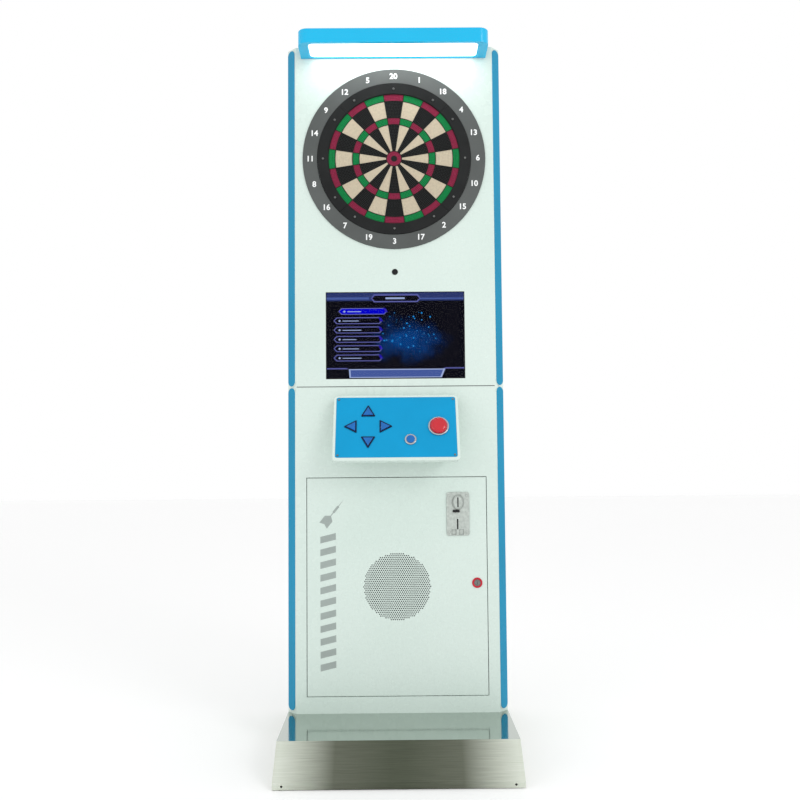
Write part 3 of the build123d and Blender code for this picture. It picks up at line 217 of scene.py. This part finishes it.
def brushed_stainless():
    """Sloping front brushed along its length, flat top nearly polished. The sloping front carries a painted
    reflection, light at both ends and dark in the middle.
    """
    shader = Shader("stainless_brushed", (0.6, 0.61, 0.58), 0.3, 1.0)
    grain = shader.noise(900, 4, 0.6, (0.012, 1, 1))
    normal = shader.node("ShaderNodeNewGeometry").outputs["Normal"]
    split = shader.node("ShaderNodeSeparateXYZ")
    shader.link(normal, split.inputs["Vector"])
    flat = shader.range(split.outputs["Z"], 0.93, 0.99)
    across = shader.axes()[0]
    # Painted reflection: across X, the sloping front's colour runs from dark in the middle to light at both
    # ends.
    middle = shader.range(shader.calculate("ABSOLUTE", across), 0.02, 0.31)
    front_painted_reflection = shader.ramp(
        middle, (0.0, (0.085, 0.095, 0.07)), (0.5, (0.13, 0.14, 0.11)), (1.0, (0.66, 0.70, 0.62))
    )
    streaks = shader.ramp(grain, (0.3, (0.2, 0.2, 0.18)), (0.7, (0.9, 0.9, 0.86)))
    streaked = shader.blend(0.30, front_painted_reflection, streaks, "OVERLAY")
    shader.colour(shader.blend(flat, streaked, (0.48, 0.53, 0.49)))
    brushed = shader.range(grain, 0.3, 0.7, 0.30, 0.44)
    shader.rough(shader.blend(flat, brushed, (0.10, 0.10, 0.10)))
    shader.bump(grain, 0.05, 0.0002)
    return shader.material


def segment_plastic(name, colour, spread=0.12):
    """Moulded segment: matt, slightly mottled by the darts."""
    shader = Shader(name, colour, 0.55, Specular_IOR_Level=0.15)
    marks = shader.noise(160, 4, 0.6)
    darker = tuple(c * (1 - 2 * spread) for c in colour)
    lighter = tuple(min(1.0, c * (1 + spread)) for c in colour)
    shader.colour(shader.ramp(marks, (0.25, darker), (0.6, colour), (0.85, lighter)))
    shader.rough(shader.range(shader.noise(300, 3), 0.3, 0.7, 0.48, 0.66))
    shader.bump(shader.noise(700, 3), 0.2, 0.0003)
    return shader.material


def glowing(name, colour, strength, base=(0.001, 0.001, 0.001)):
    shader = Shader(
        name, base, 0.4, Specular_IOR_Level=0.0, Emission_Color=(*colour, 1), Emission_Strength=strength
    )
    shader.bump(shader.noise(800, 1), 0.02, 0.0001)
    return shader.material


def opal_diffuser():
    """Lit opal sheet."""
    glow = (0.93, 0.98, 1.0, 1)
    shader = Shader("opal_diffuser", (0.95, 0.97, 1.0), 0.35, Emission_Color=glow, Emission_Strength=1.3)
    shader.bump(shader.noise(500, 1), 0.05, 0.0001)
    return shader.material


def screen_glow():
    """Dark navy picture with a soft blue glow right of its middle."""
    shader = Shader("screen_picture", (0.001, 0.001, 0.002), 0.4, Specular_IOR_Level=0.0)
    across, _, up = shader.axes()
    centre_x = 0.035
    centre_z = (WINDOW_LOW.z + WINDOW_HIGH.z) / 2 - 0.012
    away_x = shader.calculate("MULTIPLY", shader.calculate("SUBTRACT", across, centre_x), 7.5)
    away_z = shader.calculate("MULTIPLY", shader.calculate("SUBTRACT", up, centre_z), 13.0)
    square_x = shader.calculate("POWER", away_x, 2.0)
    square_z = shader.calculate("POWER", away_z, 2.0)
    distance = shader.calculate("SQRT", shader.calculate("ADD", square_x, square_z))
    cloud = shader.range(shader.noise(26, 5, 0.6), 0.3, 0.7, -0.25, 0.25)
    near = shader.calculate("ADD", distance, cloud)
    glow = shader.ramp(
        near,
        (0.0, (0.0, 0.055, 0.25)),
        (0.45, (0.001, 0.022, 0.11)),
        (0.8, (0.001, 0.004, 0.02)),
        (1.0, (0.002, 0.002, 0.005)),
    )
    shader.link(glow, shader.surface.inputs["Emission Color"])
    shader.set("Emission Strength", 1.0)
    return shader.material


def cast_metal():
    """Cast coin face: silver, with painted shade darkening its creases and mouths."""
    shader = Shader("coin_metal", (0.5, 0.55, 0.51), 0.42, 0.35)
    # Painted shade: ambient occlusion darkens the creases and mouths of the face.
    painted_crease_shade = shader.node("ShaderNodeAmbientOcclusion", samples=8)
    painted_crease_shade.inputs["Distance"].default_value = 0.006
    shade = shader.range(painted_crease_shade.outputs["AO"], 0.25, 0.95)
    mottled = shader.ramp(shader.noise(120, 4), (0.3, (0.40, 0.44, 0.41)), (0.7, (0.55, 0.60, 0.56)))
    shader.colour(shader.blend(shade, (0.03, 0.035, 0.032), mottled))
    shader.bump(shader.noise(650, 3), 0.35, 0.0004)
    return shader.material


MATERIALS = {
    "white_paint": powder_coat(),
    "stainless": brushed_stainless(),
    "black_steel": varied("black_steel", (0.04, 0.04, 0.045), 0.2, 12, 0.45),
    "rubber": varied("rubber", (0.03, 0.03, 0.03), 0.2, 30, 0.8),
    "blue_trim": varied(
        "trim_blue", (0.003, 0.245, 0.43), 0.06, 3, 0.24, Specular_IOR_Level=0.2, Coat_Weight=0.12,
        Coat_Roughness=0.06, bump=(500, 0.05, 0.0002),
    ),
    "zinc": varied("zinc_plate", (0.20, 0.205, 0.20), 0.15, 160, 0.36, metallic=1.0),
    "diffuser": opal_diffuser(),
    "aluminium": varied("aluminium_satin", (0.75, 0.76, 0.77), 0.06, 20, 0.35, metallic=1.0),
    "ring_grey": varied(
        "ring_grey", (0.095, 0.103, 0.1), 0.10, 9, 0.5, Specular_IOR_Level=0.15, bump=(1100, 0.25, 0.0003)
    ),
    "catch_black": varied(
        "catch_black", (0.014, 0.015, 0.015), 0.2, 14, 0.5, Specular_IOR_Level=0.12, bump=(1100, 0.25, 0.0003)
    ),
    "membrane": varied("membrane_film", (0.45, 0.4, 0.26), 0.1, 20, 0.4),
    "segment_black": segment_plastic("segment_black", (0.011, 0.012, 0.012)),
    "segment_cream": segment_plastic("segment_cream", (0.66, 0.575, 0.43), 0.08),
    "segment_red": segment_plastic("segment_red", (0.27, 0.02, 0.06)),
    "segment_green": segment_plastic("segment_green", (0.004, 0.23, 0.06)),
    "screen": varied("display_case", (0.012, 0.013, 0.02), 0.2, 20, 0.5),
    "lens_black": varied(
        "gloss_black", (0.004, 0.004, 0.005), 0.2, 40, 0.2, Specular_IOR_Level=0.3, bump=(600, 0.04, 0.0001)
    ),
    "panel_blue": varied(
        "panel_blue", (0.001, 0.29, 0.56), 0.05, 6, 0.4, Specular_IOR_Level=0.15, bump=(700, 0.10, 0.0002)
    ),
    "navy_plastic": varied("navy_plastic", (0.001, 0.006, 0.04), 0.2, 40, 0.35, Specular_IOR_Level=0.2),
    "button_blue": varied(
        "button_blue", (0.0, 0.12, 0.42), 0.1, 60, 0.2, Specular_IOR_Level=0.3, Coat_Weight=0.2,
        bump=(500, 0.04, 0.0001),
    ),
    "button_red": varied(
        "button_red", (0.52, 0.0, 0.012), 0.06, 30, 0.16, Coat_Weight=0.3, bump=(400, 0.03, 0.0001)
    ),
    "chrome": varied(
        "chrome", (0.46, 0.47, 0.49), 0.04, 40, 0.10, 0.03, metallic=1.0, bump=(300, 0.02, 0.0001)
    ),
    "ring_red": varied("ring_red", (0.5, 0.012, 0.03), 0.08, 60, 0.3, Specular_IOR_Level=0.2),
    "coin_metal": cast_metal(),
    "cone_paper": varied("cone_paper", (0.03, 0.03, 0.033), 0.2, 60, 0.8, bump=(1200, 0.3, 0.0004)),
}


def window_glass():
    """Clear window: nearly invisible but for its reflections."""
    shader = Shader("window_glass", (0.0, 0.0, 0.0), 0.04, Alpha=0.12, Specular_IOR_Level=0.5)
    shader.rough(shader.range(shader.noise(8, 2), 0.3, 0.7, 0.02, 0.06))
    return shader.material


MATERIALS["window_glass"] = window_glass()


# Painted light: the hood takes a lighter copy of the trim blue, drawn brighter as if lit from above.
MATERIALS["hood_blue_painted_light"] = varied(
    "hood_blue_painted_light", (0.0, 0.44, 0.74), 0.04, 3, 0.22, Specular_IOR_Level=0.3, Coat_Weight=0.2,
    bump=(500, 0.04, 0.0002),
)


def dress_frame():
    """Give each CAD node the material of its slot in the record."""
    for entry in frame["record"]["subparts"]:
        mesh = NODES[entry["node"]].data
        mesh.materials.clear()
        mesh.materials.append(MATERIALS[entry["material_slot"]])
    # The hood housing gets the lighter painted-light copy of the trim blue.
    NODES["hood_housing"].data.materials[0] = MATERIALS["hood_blue_painted_light"]


dress_frame()


# ======== Mesh helpers ========

def make_piece(name, vertices, faces, material, body, smooth=False):
    """Mesh piece in the object frame that rides on a body."""
    mesh = bpy.data.meshes.new(name)
    mesh.from_pydata([tuple(v) for v in vertices], [], faces)
    mesh.validate()
    mesh.update()
    mesh.polygons.foreach_set("use_smooth", [smooth] * len(mesh.polygons))
    mesh.materials.append(material)
    piece = bpy.data.objects.new(name, mesh)
    bpy.context.scene.collection.objects.link(piece)
    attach(piece, body)
    return piece


def prism(outlines, front, back):
    """Closed prisms from (x, z) outlines, anticlockwise as seen from the front, between two depths."""
    vertices, faces = [], []
    for outline in outlines:
        start = len(vertices)
        count = len(outline)
        vertices += [(x, front, z) for x, z in outline] + [(x, back, z) for x, z in outline]
        faces.append([start + i for i in range(count)])
        faces.append([start + count + i for i in reversed(range(count))])
        for i in range(count):
            j = (i + 1) % count
            faces.append([start + j, start + i, start + count + i, start + count + j])
    return vertices, faces


def rectangle(left, low, right, high):
    return [(left, low), (right, low), (right, high), (left, high)]


# ======== Target ========

SECTORS = 20
SECTOR = 2 * pi / SECTORS
SEGMENT_GAP = 0.00125  # straight side of a segment to its sector line
HOLE_PITCH = 0.0046
HOLE_RADIUS = 0.00135
HOLE_DEPTH = 0.009
BANDS = {
    "inner": (0.0229, 0.1045),
    "treble": (0.1045, 0.125),
    "outer": (0.125, 0.1765),
    "double": (0.1765, 0.1972),
}
INNER_BULL_CLEAR = 0.00935  # hole of the outer bull round the inner one
NUMBERS = (20, 1, 18, 4, 13, 6, 10, 15, 2, 17, 3, 19, 7, 16, 8, 11, 14, 9, 12, 5)


def target_point(radius, angle, depth):
    """Point on the target, clockwise from its top."""
    return (BULL_X + radius * sin(angle), depth, BULL_Z + radius * cos(angle))


class HoledPlate:
    """Builds plates cut by polar lines, each cell with one round dart hole."""

    SIDES = 8

    def __init__(self, front, back):
        self.front = front
        self.back = back
        self.vertices = []
        self.faces = []

    def cell(self, inner, outer, first, last):
        """One cell between two radii and two angle functions of the radius, with its hole."""
        middle = (inner + outer) / 2
        rim = []
        inner_side = [(inner, 0.0), (inner, 0.5), (inner, 1.0), (middle, 1.0)]
        outer_side = [(outer, 1.0), (outer, 0.5), (outer, 0.0), (middle, 0.0)]
        for radius, share in inner_side + outer_side:
            angle = first(radius) * (1 - share) + last(radius) * share
            rim.append(target_point(radius, angle, self.front))
        centre_angle = (first(middle) + last(middle)) / 2
        centre = Vector(target_point(middle, centre_angle, self.front))
        start = len(self.vertices)
        self.vertices += rim
        for depth in (self.front, self.front + HOLE_DEPTH):
            for corner in rim:
                direction = (Vector(corner) - centre).normalized()
                edge = centre + direction * HOLE_RADIUS
                self.vertices.append((edge.x, depth, edge.z))
        sides = self.SIDES
        edge_start = start + sides
        floor_start = edge_start + sides
        for i in range(sides):
            j = (i + 1) % sides
            self.faces.append([start + i, start + j, edge_start + j, edge_start + i])
            self.faces.append([edge_start + i, edge_start + j, floor_start + j, floor_start + i])
        self.faces.append([floor_start + i for i in range(sides)])

    def skirt(self, outline):
        """Side walls and back of the plate from its outline of (radius, angle) points, clockwise."""
        start = len(self.vertices)
        count = len(outline)
        self.vertices += [target_point(r, a, self.front) for r, a in outline]
        self.vertices += [target_point(r, a, self.back) for r, a in outline]
        for i in range(count):
            j = (i + 1) % count
            self.faces.append([start + i, start + j, start + count + j, start + count + i])
        self.faces.append([start + count + i for i in range(count)])


def add_segment(plate, band, sector):
    inner = BANDS[band][0] + SEGMENT_GAP
    outer = BANDS[band][1] - SEGMENT_GAP
    middle_angle = sector * SECTOR
    rows = max(1, round((outer - inner) / HOLE_PITCH))

    def edge(side):
        return lambda radius: middle_angle + side * (SECTOR / 2 - asin(SEGMENT_GAP / radius))

    def between(share):
        low, high = edge(-1), edge(1)
        return lambda radius: low(radius) * (1 - share) + high(radius) * share

    for row in range(rows):
        near = inner + (outer - inner) * row / rows
        far = inner + (outer - inner) * (row + 1) / rows
        width = (near + far) / 2 * SECTOR - 2 * SEGMENT_GAP
        columns = max(1, round(width / HOLE_PITCH))
        for column in range(columns):
            plate.cell(near, far, between(column / columns), between((column + 1) / columns))
    steps = 8
    shares = [i / steps for i in range(steps + 1)]
    outline = [(outer, between(share)(outer)) for share in shares]
    outline += [(inner, between(share)(inner)) for share in reversed(shares)]
    plate.skirt(outline)


def replace_segments(node, bands, first_sector, slot):
    low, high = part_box(node)
    plate = HoledPlate(low.y, high.y)
    for band in bands:
        for sector in range(first_sector, SECTORS, 2):
            add_segment(plate, band, sector)
    piece = make_piece(node + "_holed", plate.vertices, plate.faces, MATERIALS[slot], node)
    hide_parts(node)


replace_segments("singles_black", ("inner", "outer"), 0, "segment_black")
replace_segments("singles_cream", ("inner", "outer"), 1, "segment_cream")
replace_segments("trebles_red", ("treble",), 0, "segment_red")
replace_segments("trebles_green", ("treble",), 1, "segment_green")
replace_segments("doubles_red", ("double",), 0, "segment_red")
replace_segments("doubles_green", ("double",), 1, "segment_green")


def replace_outer_bull():
    """Ring of two rows of holes round the inner bull."""
    low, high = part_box("outer_bull")
    outer = (high.x - low.x) / 2
    inner = INNER_BULL_CLEAR
    plate = HoledPlate(low.y, high.y)
    rows = 2
    for row in range(rows):
        near = inner + (outer - inner) * row / rows
        far = inner + (outer - inner) * (row + 1) / rows
        columns = round((near + far) * pi / HOLE_PITCH)
        for column in range(columns):
            start = 2 * pi * column / columns
            end = 2 * pi * (column + 1) / columns
            plate.cell(near, far, lambda radius, a=start: a, lambda radius, a=end: a)
    steps = 48
    start = len(plate.vertices)
    for radius, depth in ((outer, low.y), (outer, high.y), (inner, high.y), (inner, low.y)):
        plate.vertices += [target_point(radius, 2 * pi * i / steps, depth) for i in range(steps)]
    for ring in range(3):
        for i in range(steps):
            j = (i + 1) % steps
            corner = start + ring * steps
            plate.faces.append([corner + i, corner + j, corner + steps + j, corner + steps + i])
    piece = make_piece(
        "outer_bull_holed", plate.vertices, plate.faces, MATERIALS["segment_red"], "outer_bull"
    )
    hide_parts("outer_bull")


replace_outer_bull()


def text_mesh(name, words, height, x, depth, z, material, body, weight=0.0):
    """Raised upright figures, centred on (x, z), standing 0.3 mm out from depth."""
    curve = bpy.data.curves.new(name, "FONT")
    curve.body = words
    curve.align_x = "CENTER"
    curve.align_y = "CENTER"
    curve.size = height
    curve.extrude = 0.00015
    curve.offset = weight
    curve.resolution_u = 4
    source = bpy.data.objects.new(name + "_curve", curve)
    mesh = bpy.data.meshes.new_from_object(source)
    turn = Matrix.Translation((x, depth - 0.00015, z)) @ Matrix.Rotation(pi / 2, 4, "X")
    mesh.transform(turn)
    mesh.materials.clear()
    mesh.materials.append(material)
    bpy.data.objects.remove(source)
    piece = bpy.data.objects.new(name, mesh)
    bpy.context.scene.collection.objects.link(piece)
    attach(piece, body)
    return piece


NUMBER_RADIUS = 0.2515
NUMBER_HEIGHT = 0.0235
number_white = varied("number_white", (0.86, 0.88, 0.87), 0.03, 40, 0.5)
for place, number in enumerate(NUMBERS):
    angle = place * SECTOR
    number_x, _, number_z = target_point(NUMBER_RADIUS, angle, 0)
    figures = str(number)
    text_mesh(
        "number_" + figures, figures, NUMBER_HEIGHT, number_x, RING_LOW.y, number_z, number_white,
        "cabinet", 0.0006,
    )


# ======== Screen picture ========

PICTURE_HALF = 0.20412
PICTURE_HEIGHT = 0.25515
PICTURE_LOW = (WINDOW_LOW.z + WINDOW_HIGH.z) / 2 - PICTURE_HEIGHT / 2
PICTURE_FRONT = WINDOW_LOW.y + 0.0024  # inside the window's thickness
LAYER = 0.0002


def screen_x(share):
    return -PICTURE_HALF + 2 * PICTURE_HALF * share


def screen_z(share):
    """Height on the picture from a share measured down from its top."""
    return PICTURE_LOW + PICTURE_HEIGHT * (1 - share)


def picture(name, outlines, material, layer):
    """Flat shapes of the picture, from outlines in shares of its width and height."""
    places = [[(screen_x(x), screen_z(z)) for x, z in outline] for outline in outlines]
    front = PICTURE_FRONT - layer * LAYER
    vertices, faces = prism(places, front, front + LAYER * 0.8)
    return make_piece("screen_" + name, vertices, faces, material, "cabinet")


def lozenge(left, low, right, high, cut):
    """Bar with slanting ends, anticlockwise with z shares measured downwards."""
    middle = (low + high) / 2
    right_end = [(right - cut, low), (right, middle), (right - cut, high)]
    return [(left + cut, low)] + right_end + [(left + cut, high), (left, middle)]


MENU_ROWS = 6
MENU_TOP = 0.178
MENU_STEP = 0.109
MENU_HEIGHT = 0.078


SPECKS = 46
GOLDEN_ANGLE = pi * (3 - sqrt(5))


def speck_outlines():
    """Small diamonds scattered over the glow, larger and smaller in turn."""
    outlines = []
    for speck in range(SPECKS):
        reach = sqrt(speck / SPECKS)
        across = 0.60 + 0.21 * reach * cos(speck * GOLDEN_ANGLE)
        down = 0.46 + 0.25 * reach * sin(speck * GOLDEN_ANGLE) + 0.05 * sin(3.0 * speck)
        size = 0.003 + 0.0014 * (speck % 4)
        tall = size * 1.6
        outlines.append(
            [(across - size, down), (across, down + tall), (across + size, down), (across, down - tall)]
        )
    return outlines


def draw_screen():
    dark = glowing("screen_dark", (0.002, 0.002, 0.006), 1.0)
    steel = glowing("screen_steel", (0.065, 0.11, 0.36), 1.0)
    pale = glowing("screen_pale", (0.115, 0.125, 0.42), 1.0)
    violet = glowing("screen_violet", (0.02, 0.01, 0.42), 1.0)
    select = glowing("screen_select", (0.0, 0.0, 0.52), 1.2)
    light = glowing("screen_light", (0.36, 0.45, 0.75), 1.0)
    picture("base", [rectangle(0, 1, 1, 0)], screen_glow(), 0)
    picture("header", [rectangle(0, 0.095, 1, 0.0)], glowing("screen_header", (0.025, 0.04, 0.16), 1.0), 1)
    picture("header_lines", [rectangle(0, 0.078, 0.31, 0.052), rectangle(0.68, 0.078, 1, 0.062)], steel, 2)
    picture("title_edge", [lozenge(0.325, 0.112, 0.685, 0.018, 0.02)], pale, 3)
    picture("title", [lozenge(0.332, 0.098, 0.678, 0.034, 0.02)], dark, 4)
    picture("title_bar", [rectangle(0.43, 0.076, 0.57, 0.056)], light, 5)
    edges, bodies, tips, marks, labels = [], [], [], [], []
    for row in range(MENU_ROWS):
        shift = 0.035 if row == 0 else 0.0
        top = MENU_TOP + MENU_STEP * row
        low = top + MENU_HEIGHT
        left = 0.05 + shift
        right = 0.408 + shift
        edges.append(lozenge(left, low, right, top, 0.022))
        bodies.append(lozenge(left + 0.007, low - 0.009, right - 0.007, top + 0.010, 0.020))
        tip_low = low - 0.03
        tip_ends = [(right - 0.014, top + 0.005), (right - 0.03, top)]
        tips.append([(right - 0.02, tip_low), (right + 0.004, tip_low)] + tip_ends)
        marks.append(lozenge(left + 0.034, low - 0.024, left + 0.054, top + 0.028, 0.009))
        label_left = left + 0.066
        label_length = 0.1 + 0.018 * (row % 3)
        labels.append(rectangle(label_left, low - 0.031, label_left + label_length, top + 0.038))
    picture("menu_edges", edges, pale, 1)
    picture("menu_bodies", bodies[1:], dark, 2)
    picture("menu_selected", bodies[:1], select, 2)
    picture("menu_tips", tips, violet, 3)
    picture("menu_marks", marks, light, 3)
    picture("menu_labels", labels, light, 3)
    picture("specks", speck_outlines(), glowing("screen_speck", (0.01, 0.30, 0.85), 1.0), 1)
    picture("footer_edge", [[(0.165, 0.995), (0.835, 0.995), (0.862, 0.893), (0.16, 0.893)]], light, 1)
    picture("footer", [[(0.175, 0.985), (0.825, 0.985), (0.845, 0.905), (0.172, 0.905)]], steel, 2)
    left_corner = [(0.0, 0.893), (0.155, 0.893), (0.145, 0.88), (0.0, 0.88)]
    right_corner = [(0.845, 0.893), (1, 0.893), (1, 0.88), (0.86, 0.88)]
    corners = [left_corner, right_corner]
    picture("footer_corners", corners, pale, 2)


draw_screen()


# ======== Door ========

DOOR_SHEET = 0.002
GRILLE_Z = 0.458
GRILLE_RADIUS = 0.1
GRILLE_PITCH = 0.0061
GRILLE_HOLE = 0.0021
LOCK_X = 0.234
LOCK_Z = 0.4675
LOCK_BORE = 0.0096
COIN_CUT_X = 0.0275  # half sizes of the cut-out behind the coin face
COIN_CUT_Z = 0.05


def ring_points(x, z, radius, count, turn=0.0):
    angles = [turn + 2 * pi * i / count for i in range(count)]
    return [(x + radius * cos(angle), z + radius * sin(angle)) for angle in angles]


def grille_centres():
    rows = int(GRILLE_RADIUS / (GRILLE_PITCH * sqrt(3) / 2))
    columns = int(GRILLE_RADIUS / GRILLE_PITCH) + 1
    for row in range(-rows, rows + 1):
        for column in range(-columns, columns + 1):
            x = (column + 0.5 * (row % 2)) * GRILLE_PITCH
            z = row * GRILLE_PITCH * sqrt(3) / 2
            if x * x + z * z <= (GRILLE_RADIUS - GRILLE_HOLE) ** 2:
                yield x, GRILLE_Z + z


def replace_door():
    """Door sheet with the fine perforation, and the return edges round it."""
    coin_x = (COIN_LOW.x + COIN_HIGH.x) / 2
    coin_z = (COIN_LOW.z + COIN_HIGH.z) / 2
    outlines = [rectangle(DOOR_LOW.x, DOOR_LOW.z, DOOR_HIGH.x, DOOR_HIGH.z)]
    outlines.append(
        rectangle(coin_x - COIN_CUT_X, coin_z - COIN_CUT_Z, coin_x + COIN_CUT_X, coin_z + COIN_CUT_Z)
    )
    outlines.append(ring_points(LOCK_X, LOCK_Z, LOCK_BORE, 32))
    outlines += [ring_points(x, z, GRILLE_HOLE, 8, pi / 8) for x, z in grille_centres()]
    curve = bpy.data.curves.new("door_sheet", "CURVE")
    curve.dimensions = "2D"
    curve.fill_mode = "BOTH"
    curve.extrude = DOOR_SHEET / 2
    for outline in outlines:
        spline = curve.splines.new("POLY")
        spline.points.add(len(outline) - 1)
        spline.use_cyclic_u = True
        for point, (x, z) in zip(spline.points, outline):
            point.co = (x, z, 0, 1)
    source = bpy.data.objects.new("door_sheet_curve", curve)
    mesh = bpy.data.meshes.new_from_object(source)
    bpy.data.objects.remove(source)
    mesh.transform(Matrix.Translation((0, DOOR_LOW.y + DOOR_SHEET / 2, 0)) @ Matrix.Rotation(pi / 2, 4, "X"))
    mesh.materials.clear()
    mesh.materials.append(MATERIALS["white_paint"])
    sheet = bpy.data.objects.new("door_sheet", mesh)
    bpy.context.scene.collection.objects.link(sheet)
    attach(sheet, "door")
    left, right = DOOR_LOW.x + DOOR_SHEET, DOOR_HIGH.x - DOOR_SHEET
    low, high = DOOR_LOW.z + DOOR_SHEET, DOOR_HIGH.z - DOOR_SHEET
    sides = [
        rectangle(DOOR_LOW.x, DOOR_LOW.z, left, DOOR_HIGH.z),
        rectangle(right, DOOR_LOW.z, DOOR_HIGH.x, DOOR_HIGH.z),
        rectangle(left, DOOR_LOW.z, right, low),
        rectangle(left, high, right, DOOR_HIGH.z),
    ]
    vertices, faces = prism(sides, DOOR_LOW.y + DOOR_SHEET, DOOR_HIGH.y)
    edge = make_piece("door_return_edges", vertices, faces, MATERIALS["white_paint"], "door")
    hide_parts("door_panel")
    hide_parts("door_panel")


replace_door()

GRAPHIC_LEFT = -0.2245
GRAPHIC_RIGHT = -0.1790
GRAPHIC_LOW = 0.2155
GRAPHIC_HIGH = 0.6220
GRAPHIC_BARS = 11


def draw_door_graphic():
    """Plain slanting bars up the left of the door, with a dart above them."""
    grey = varied("graphic_grey", (0.33, 0.38, 0.36), 0.05, 20, 0.45, Specular_IOR_Level=0.2)
    step = (GRAPHIC_HIGH - GRAPHIC_LOW) / GRAPHIC_BARS
    slant = 0.011
    bars = []
    for bar in range(GRAPHIC_BARS):
        low = GRAPHIC_LOW + bar * step
        high = low + step * 0.52
        right_edge = [(GRAPHIC_RIGHT, low + slant), (GRAPHIC_RIGHT, high + slant)]
        bars.append([(GRAPHIC_LEFT, low)] + right_edge + [(GRAPHIC_LEFT, high)])
    tail_x, tail_z = -0.214, 0.640
    tip_x, tip_z = -0.156, 0.712
    along = Vector((tip_x - tail_x, tip_z - tail_z)).normalized()
    side = Vector((along.y, -along.x))
    length = (Vector((tip_x, tip_z)) - Vector((tail_x, tail_z))).length

    def dart(distance, offset):
        point = Vector((tail_x, tail_z)) + along * distance * length + side * offset
        return (point.x, point.y)

    shapes = [
        [dart(0.02, 0.0), dart(-0.04, 0.014), dart(0.24, 0.014), dart(0.36, 0.0)],
        [dart(0.36, 0.0), dart(0.24, -0.014), dart(-0.04, -0.014), dart(0.02, 0.0)],
        [dart(0.36, 0.0014), dart(0.48, 0.0014), dart(0.48, -0.0014), dart(0.36, -0.0014)][::-1],
        [dart(0.48, 0.0034), dart(0.74, 0.0034), dart(0.74, -0.0034), dart(0.48, -0.0034)][::-1],
        [dart(0.74, 0.0012), dart(1.0, 0.0), dart(0.74, -0.0012)][::-1],
    ]
    vertices, faces = prism(bars + shapes, DOOR_LOW.y - 0.0002, DOOR_LOW.y)
    make_piece("door_graphic", vertices, faces, grey, "door")


draw_door_graphic()


# ======== Seam between the cabinets ========

SEAM_HEIGHT = 0.0022
SEAM_HALF = 0.293


def draw_seam():
    """Dark joint line across the front where the two cabinets meet."""
    _, lower_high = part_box("lower_shell")
    low = lower_high.z - SEAM_HEIGHT / 2
    line = rectangle(-SEAM_HALF, low, SEAM_HALF, low + SEAM_HEIGHT)
    vertices, faces = prism([line], FRONT - 0.0002, FRONT)
    make_piece("seam_line", vertices, faces, MATERIALS["black_steel"], "cabinet")


draw_seam()


# ======== Coin acceptor ========

SLOT_UP = 0.034  # centre of the coin slot above the middle of the face
RETURN_UP = -0.030


def stadium(x, z, width, height, steps=8):
    """Upright slot outline with round ends, anticlockwise."""
    radius = width / 2
    reach = height / 2 - radius
    bends = [(radius * cos(pi * i / steps), radius * sin(pi * i / steps)) for i in range(steps + 1)]
    top = [(x + across, z + reach + up) for across, up in bends]
    low = [(x - across, z - reach - up) for across, up in bends]
    return top + low


def detail_coin_face():
    """Dark pieces standing in the coin slot and the return slot as painted shade."""
    coin_x = (COIN_LOW.x + COIN_HIGH.x) / 2
    coin_z = (COIN_LOW.z + COIN_HIGH.z) / 2
    # Painted shade: black pieces inside the coin slot and on the return slot make their openings dark.
    slot = stadium(coin_x, coin_z + SLOT_UP, 0.0034, 0.0284)
    vertices, faces = prism([slot], FRONT - 0.0050, FRONT - 0.0040)
    make_piece("coin_slot_painted_shade", vertices, faces, MATERIALS["lens_black"], "door")
    mouths = [stadium(coin_x - 0.001, coin_z + RETURN_UP, 0.0042, 0.0306)]
    vertices, faces = prism(mouths, FRONT - 0.0014, FRONT - 0.0006)
    make_piece("coin_return_painted_shade", vertices, faces, MATERIALS["lens_black"], "door")


detail_coin_face()


# ======== Light and floor ========

def make_stage():
    shader = Shader("floor_pale", (0.97, 0.97, 0.97), 0.6, Specular_IOR_Level=0.2)
    shader.rough(shader.range(shader.noise(3, 3), 0.3, 0.7, 0.5, 0.65))
    size = 14.0
    mesh = bpy.data.meshes.new("floor")
    corners = [(-size, -size, 0), (size, -size, 0), (size, size, 0), (-size, size, 0)]
    mesh.from_pydata(corners, [], [(0, 1, 2, 3)])
    mesh.materials.append(shader.material)
    floor = bpy.data.objects.new("floor", mesh)
    bpy.context.scene.collection.objects.link(floor)
    world = bpy.data.worlds.new("studio")
    world.use_nodes = True
    background = world.node_tree.nodes["Background"]
    background.inputs["Color"].default_value = (1, 1, 1, 1)
    background.inputs["Strength"].default_value = 1.0
    bpy.context.scene.world = world
    bpy.context.scene.view_settings.view_transform = "Standard"


def area_light(name, place, target, size, power):
    data = bpy.data.lights.new(name, "AREA")
    data.shape = "RECTANGLE"
    data.size, data.size_y = size
    data.energy = power
    lamp = bpy.data.objects.new(name, data)
    bpy.context.scene.collection.objects.link(lamp)
    lamp.location = place
    lamp.rotation_euler = (Vector(target) - Vector(place)).to_track_quat("-Z", "Y").to_euler()


make_stage()
area_light("key", (2.6, -3.2, 3.0), (0, 0, 1.1), (1.6, 1.6), 34)
area_light("fill", (-3.0, -2.6, 1.6), (0, 0, 1.0), (1.8, 1.8), 10)
HOOD_LOW, HOOD_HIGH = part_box("hood_diffuser")
HOOD_Y = (HOOD_LOW.y + HOOD_HIGH.y) / 2
area_light("hood", (0, HOOD_Y, HOOD_LOW.z - 0.004), (0, FRONT + 0.01, 1.70), (0.48, 0.07), 0.45)
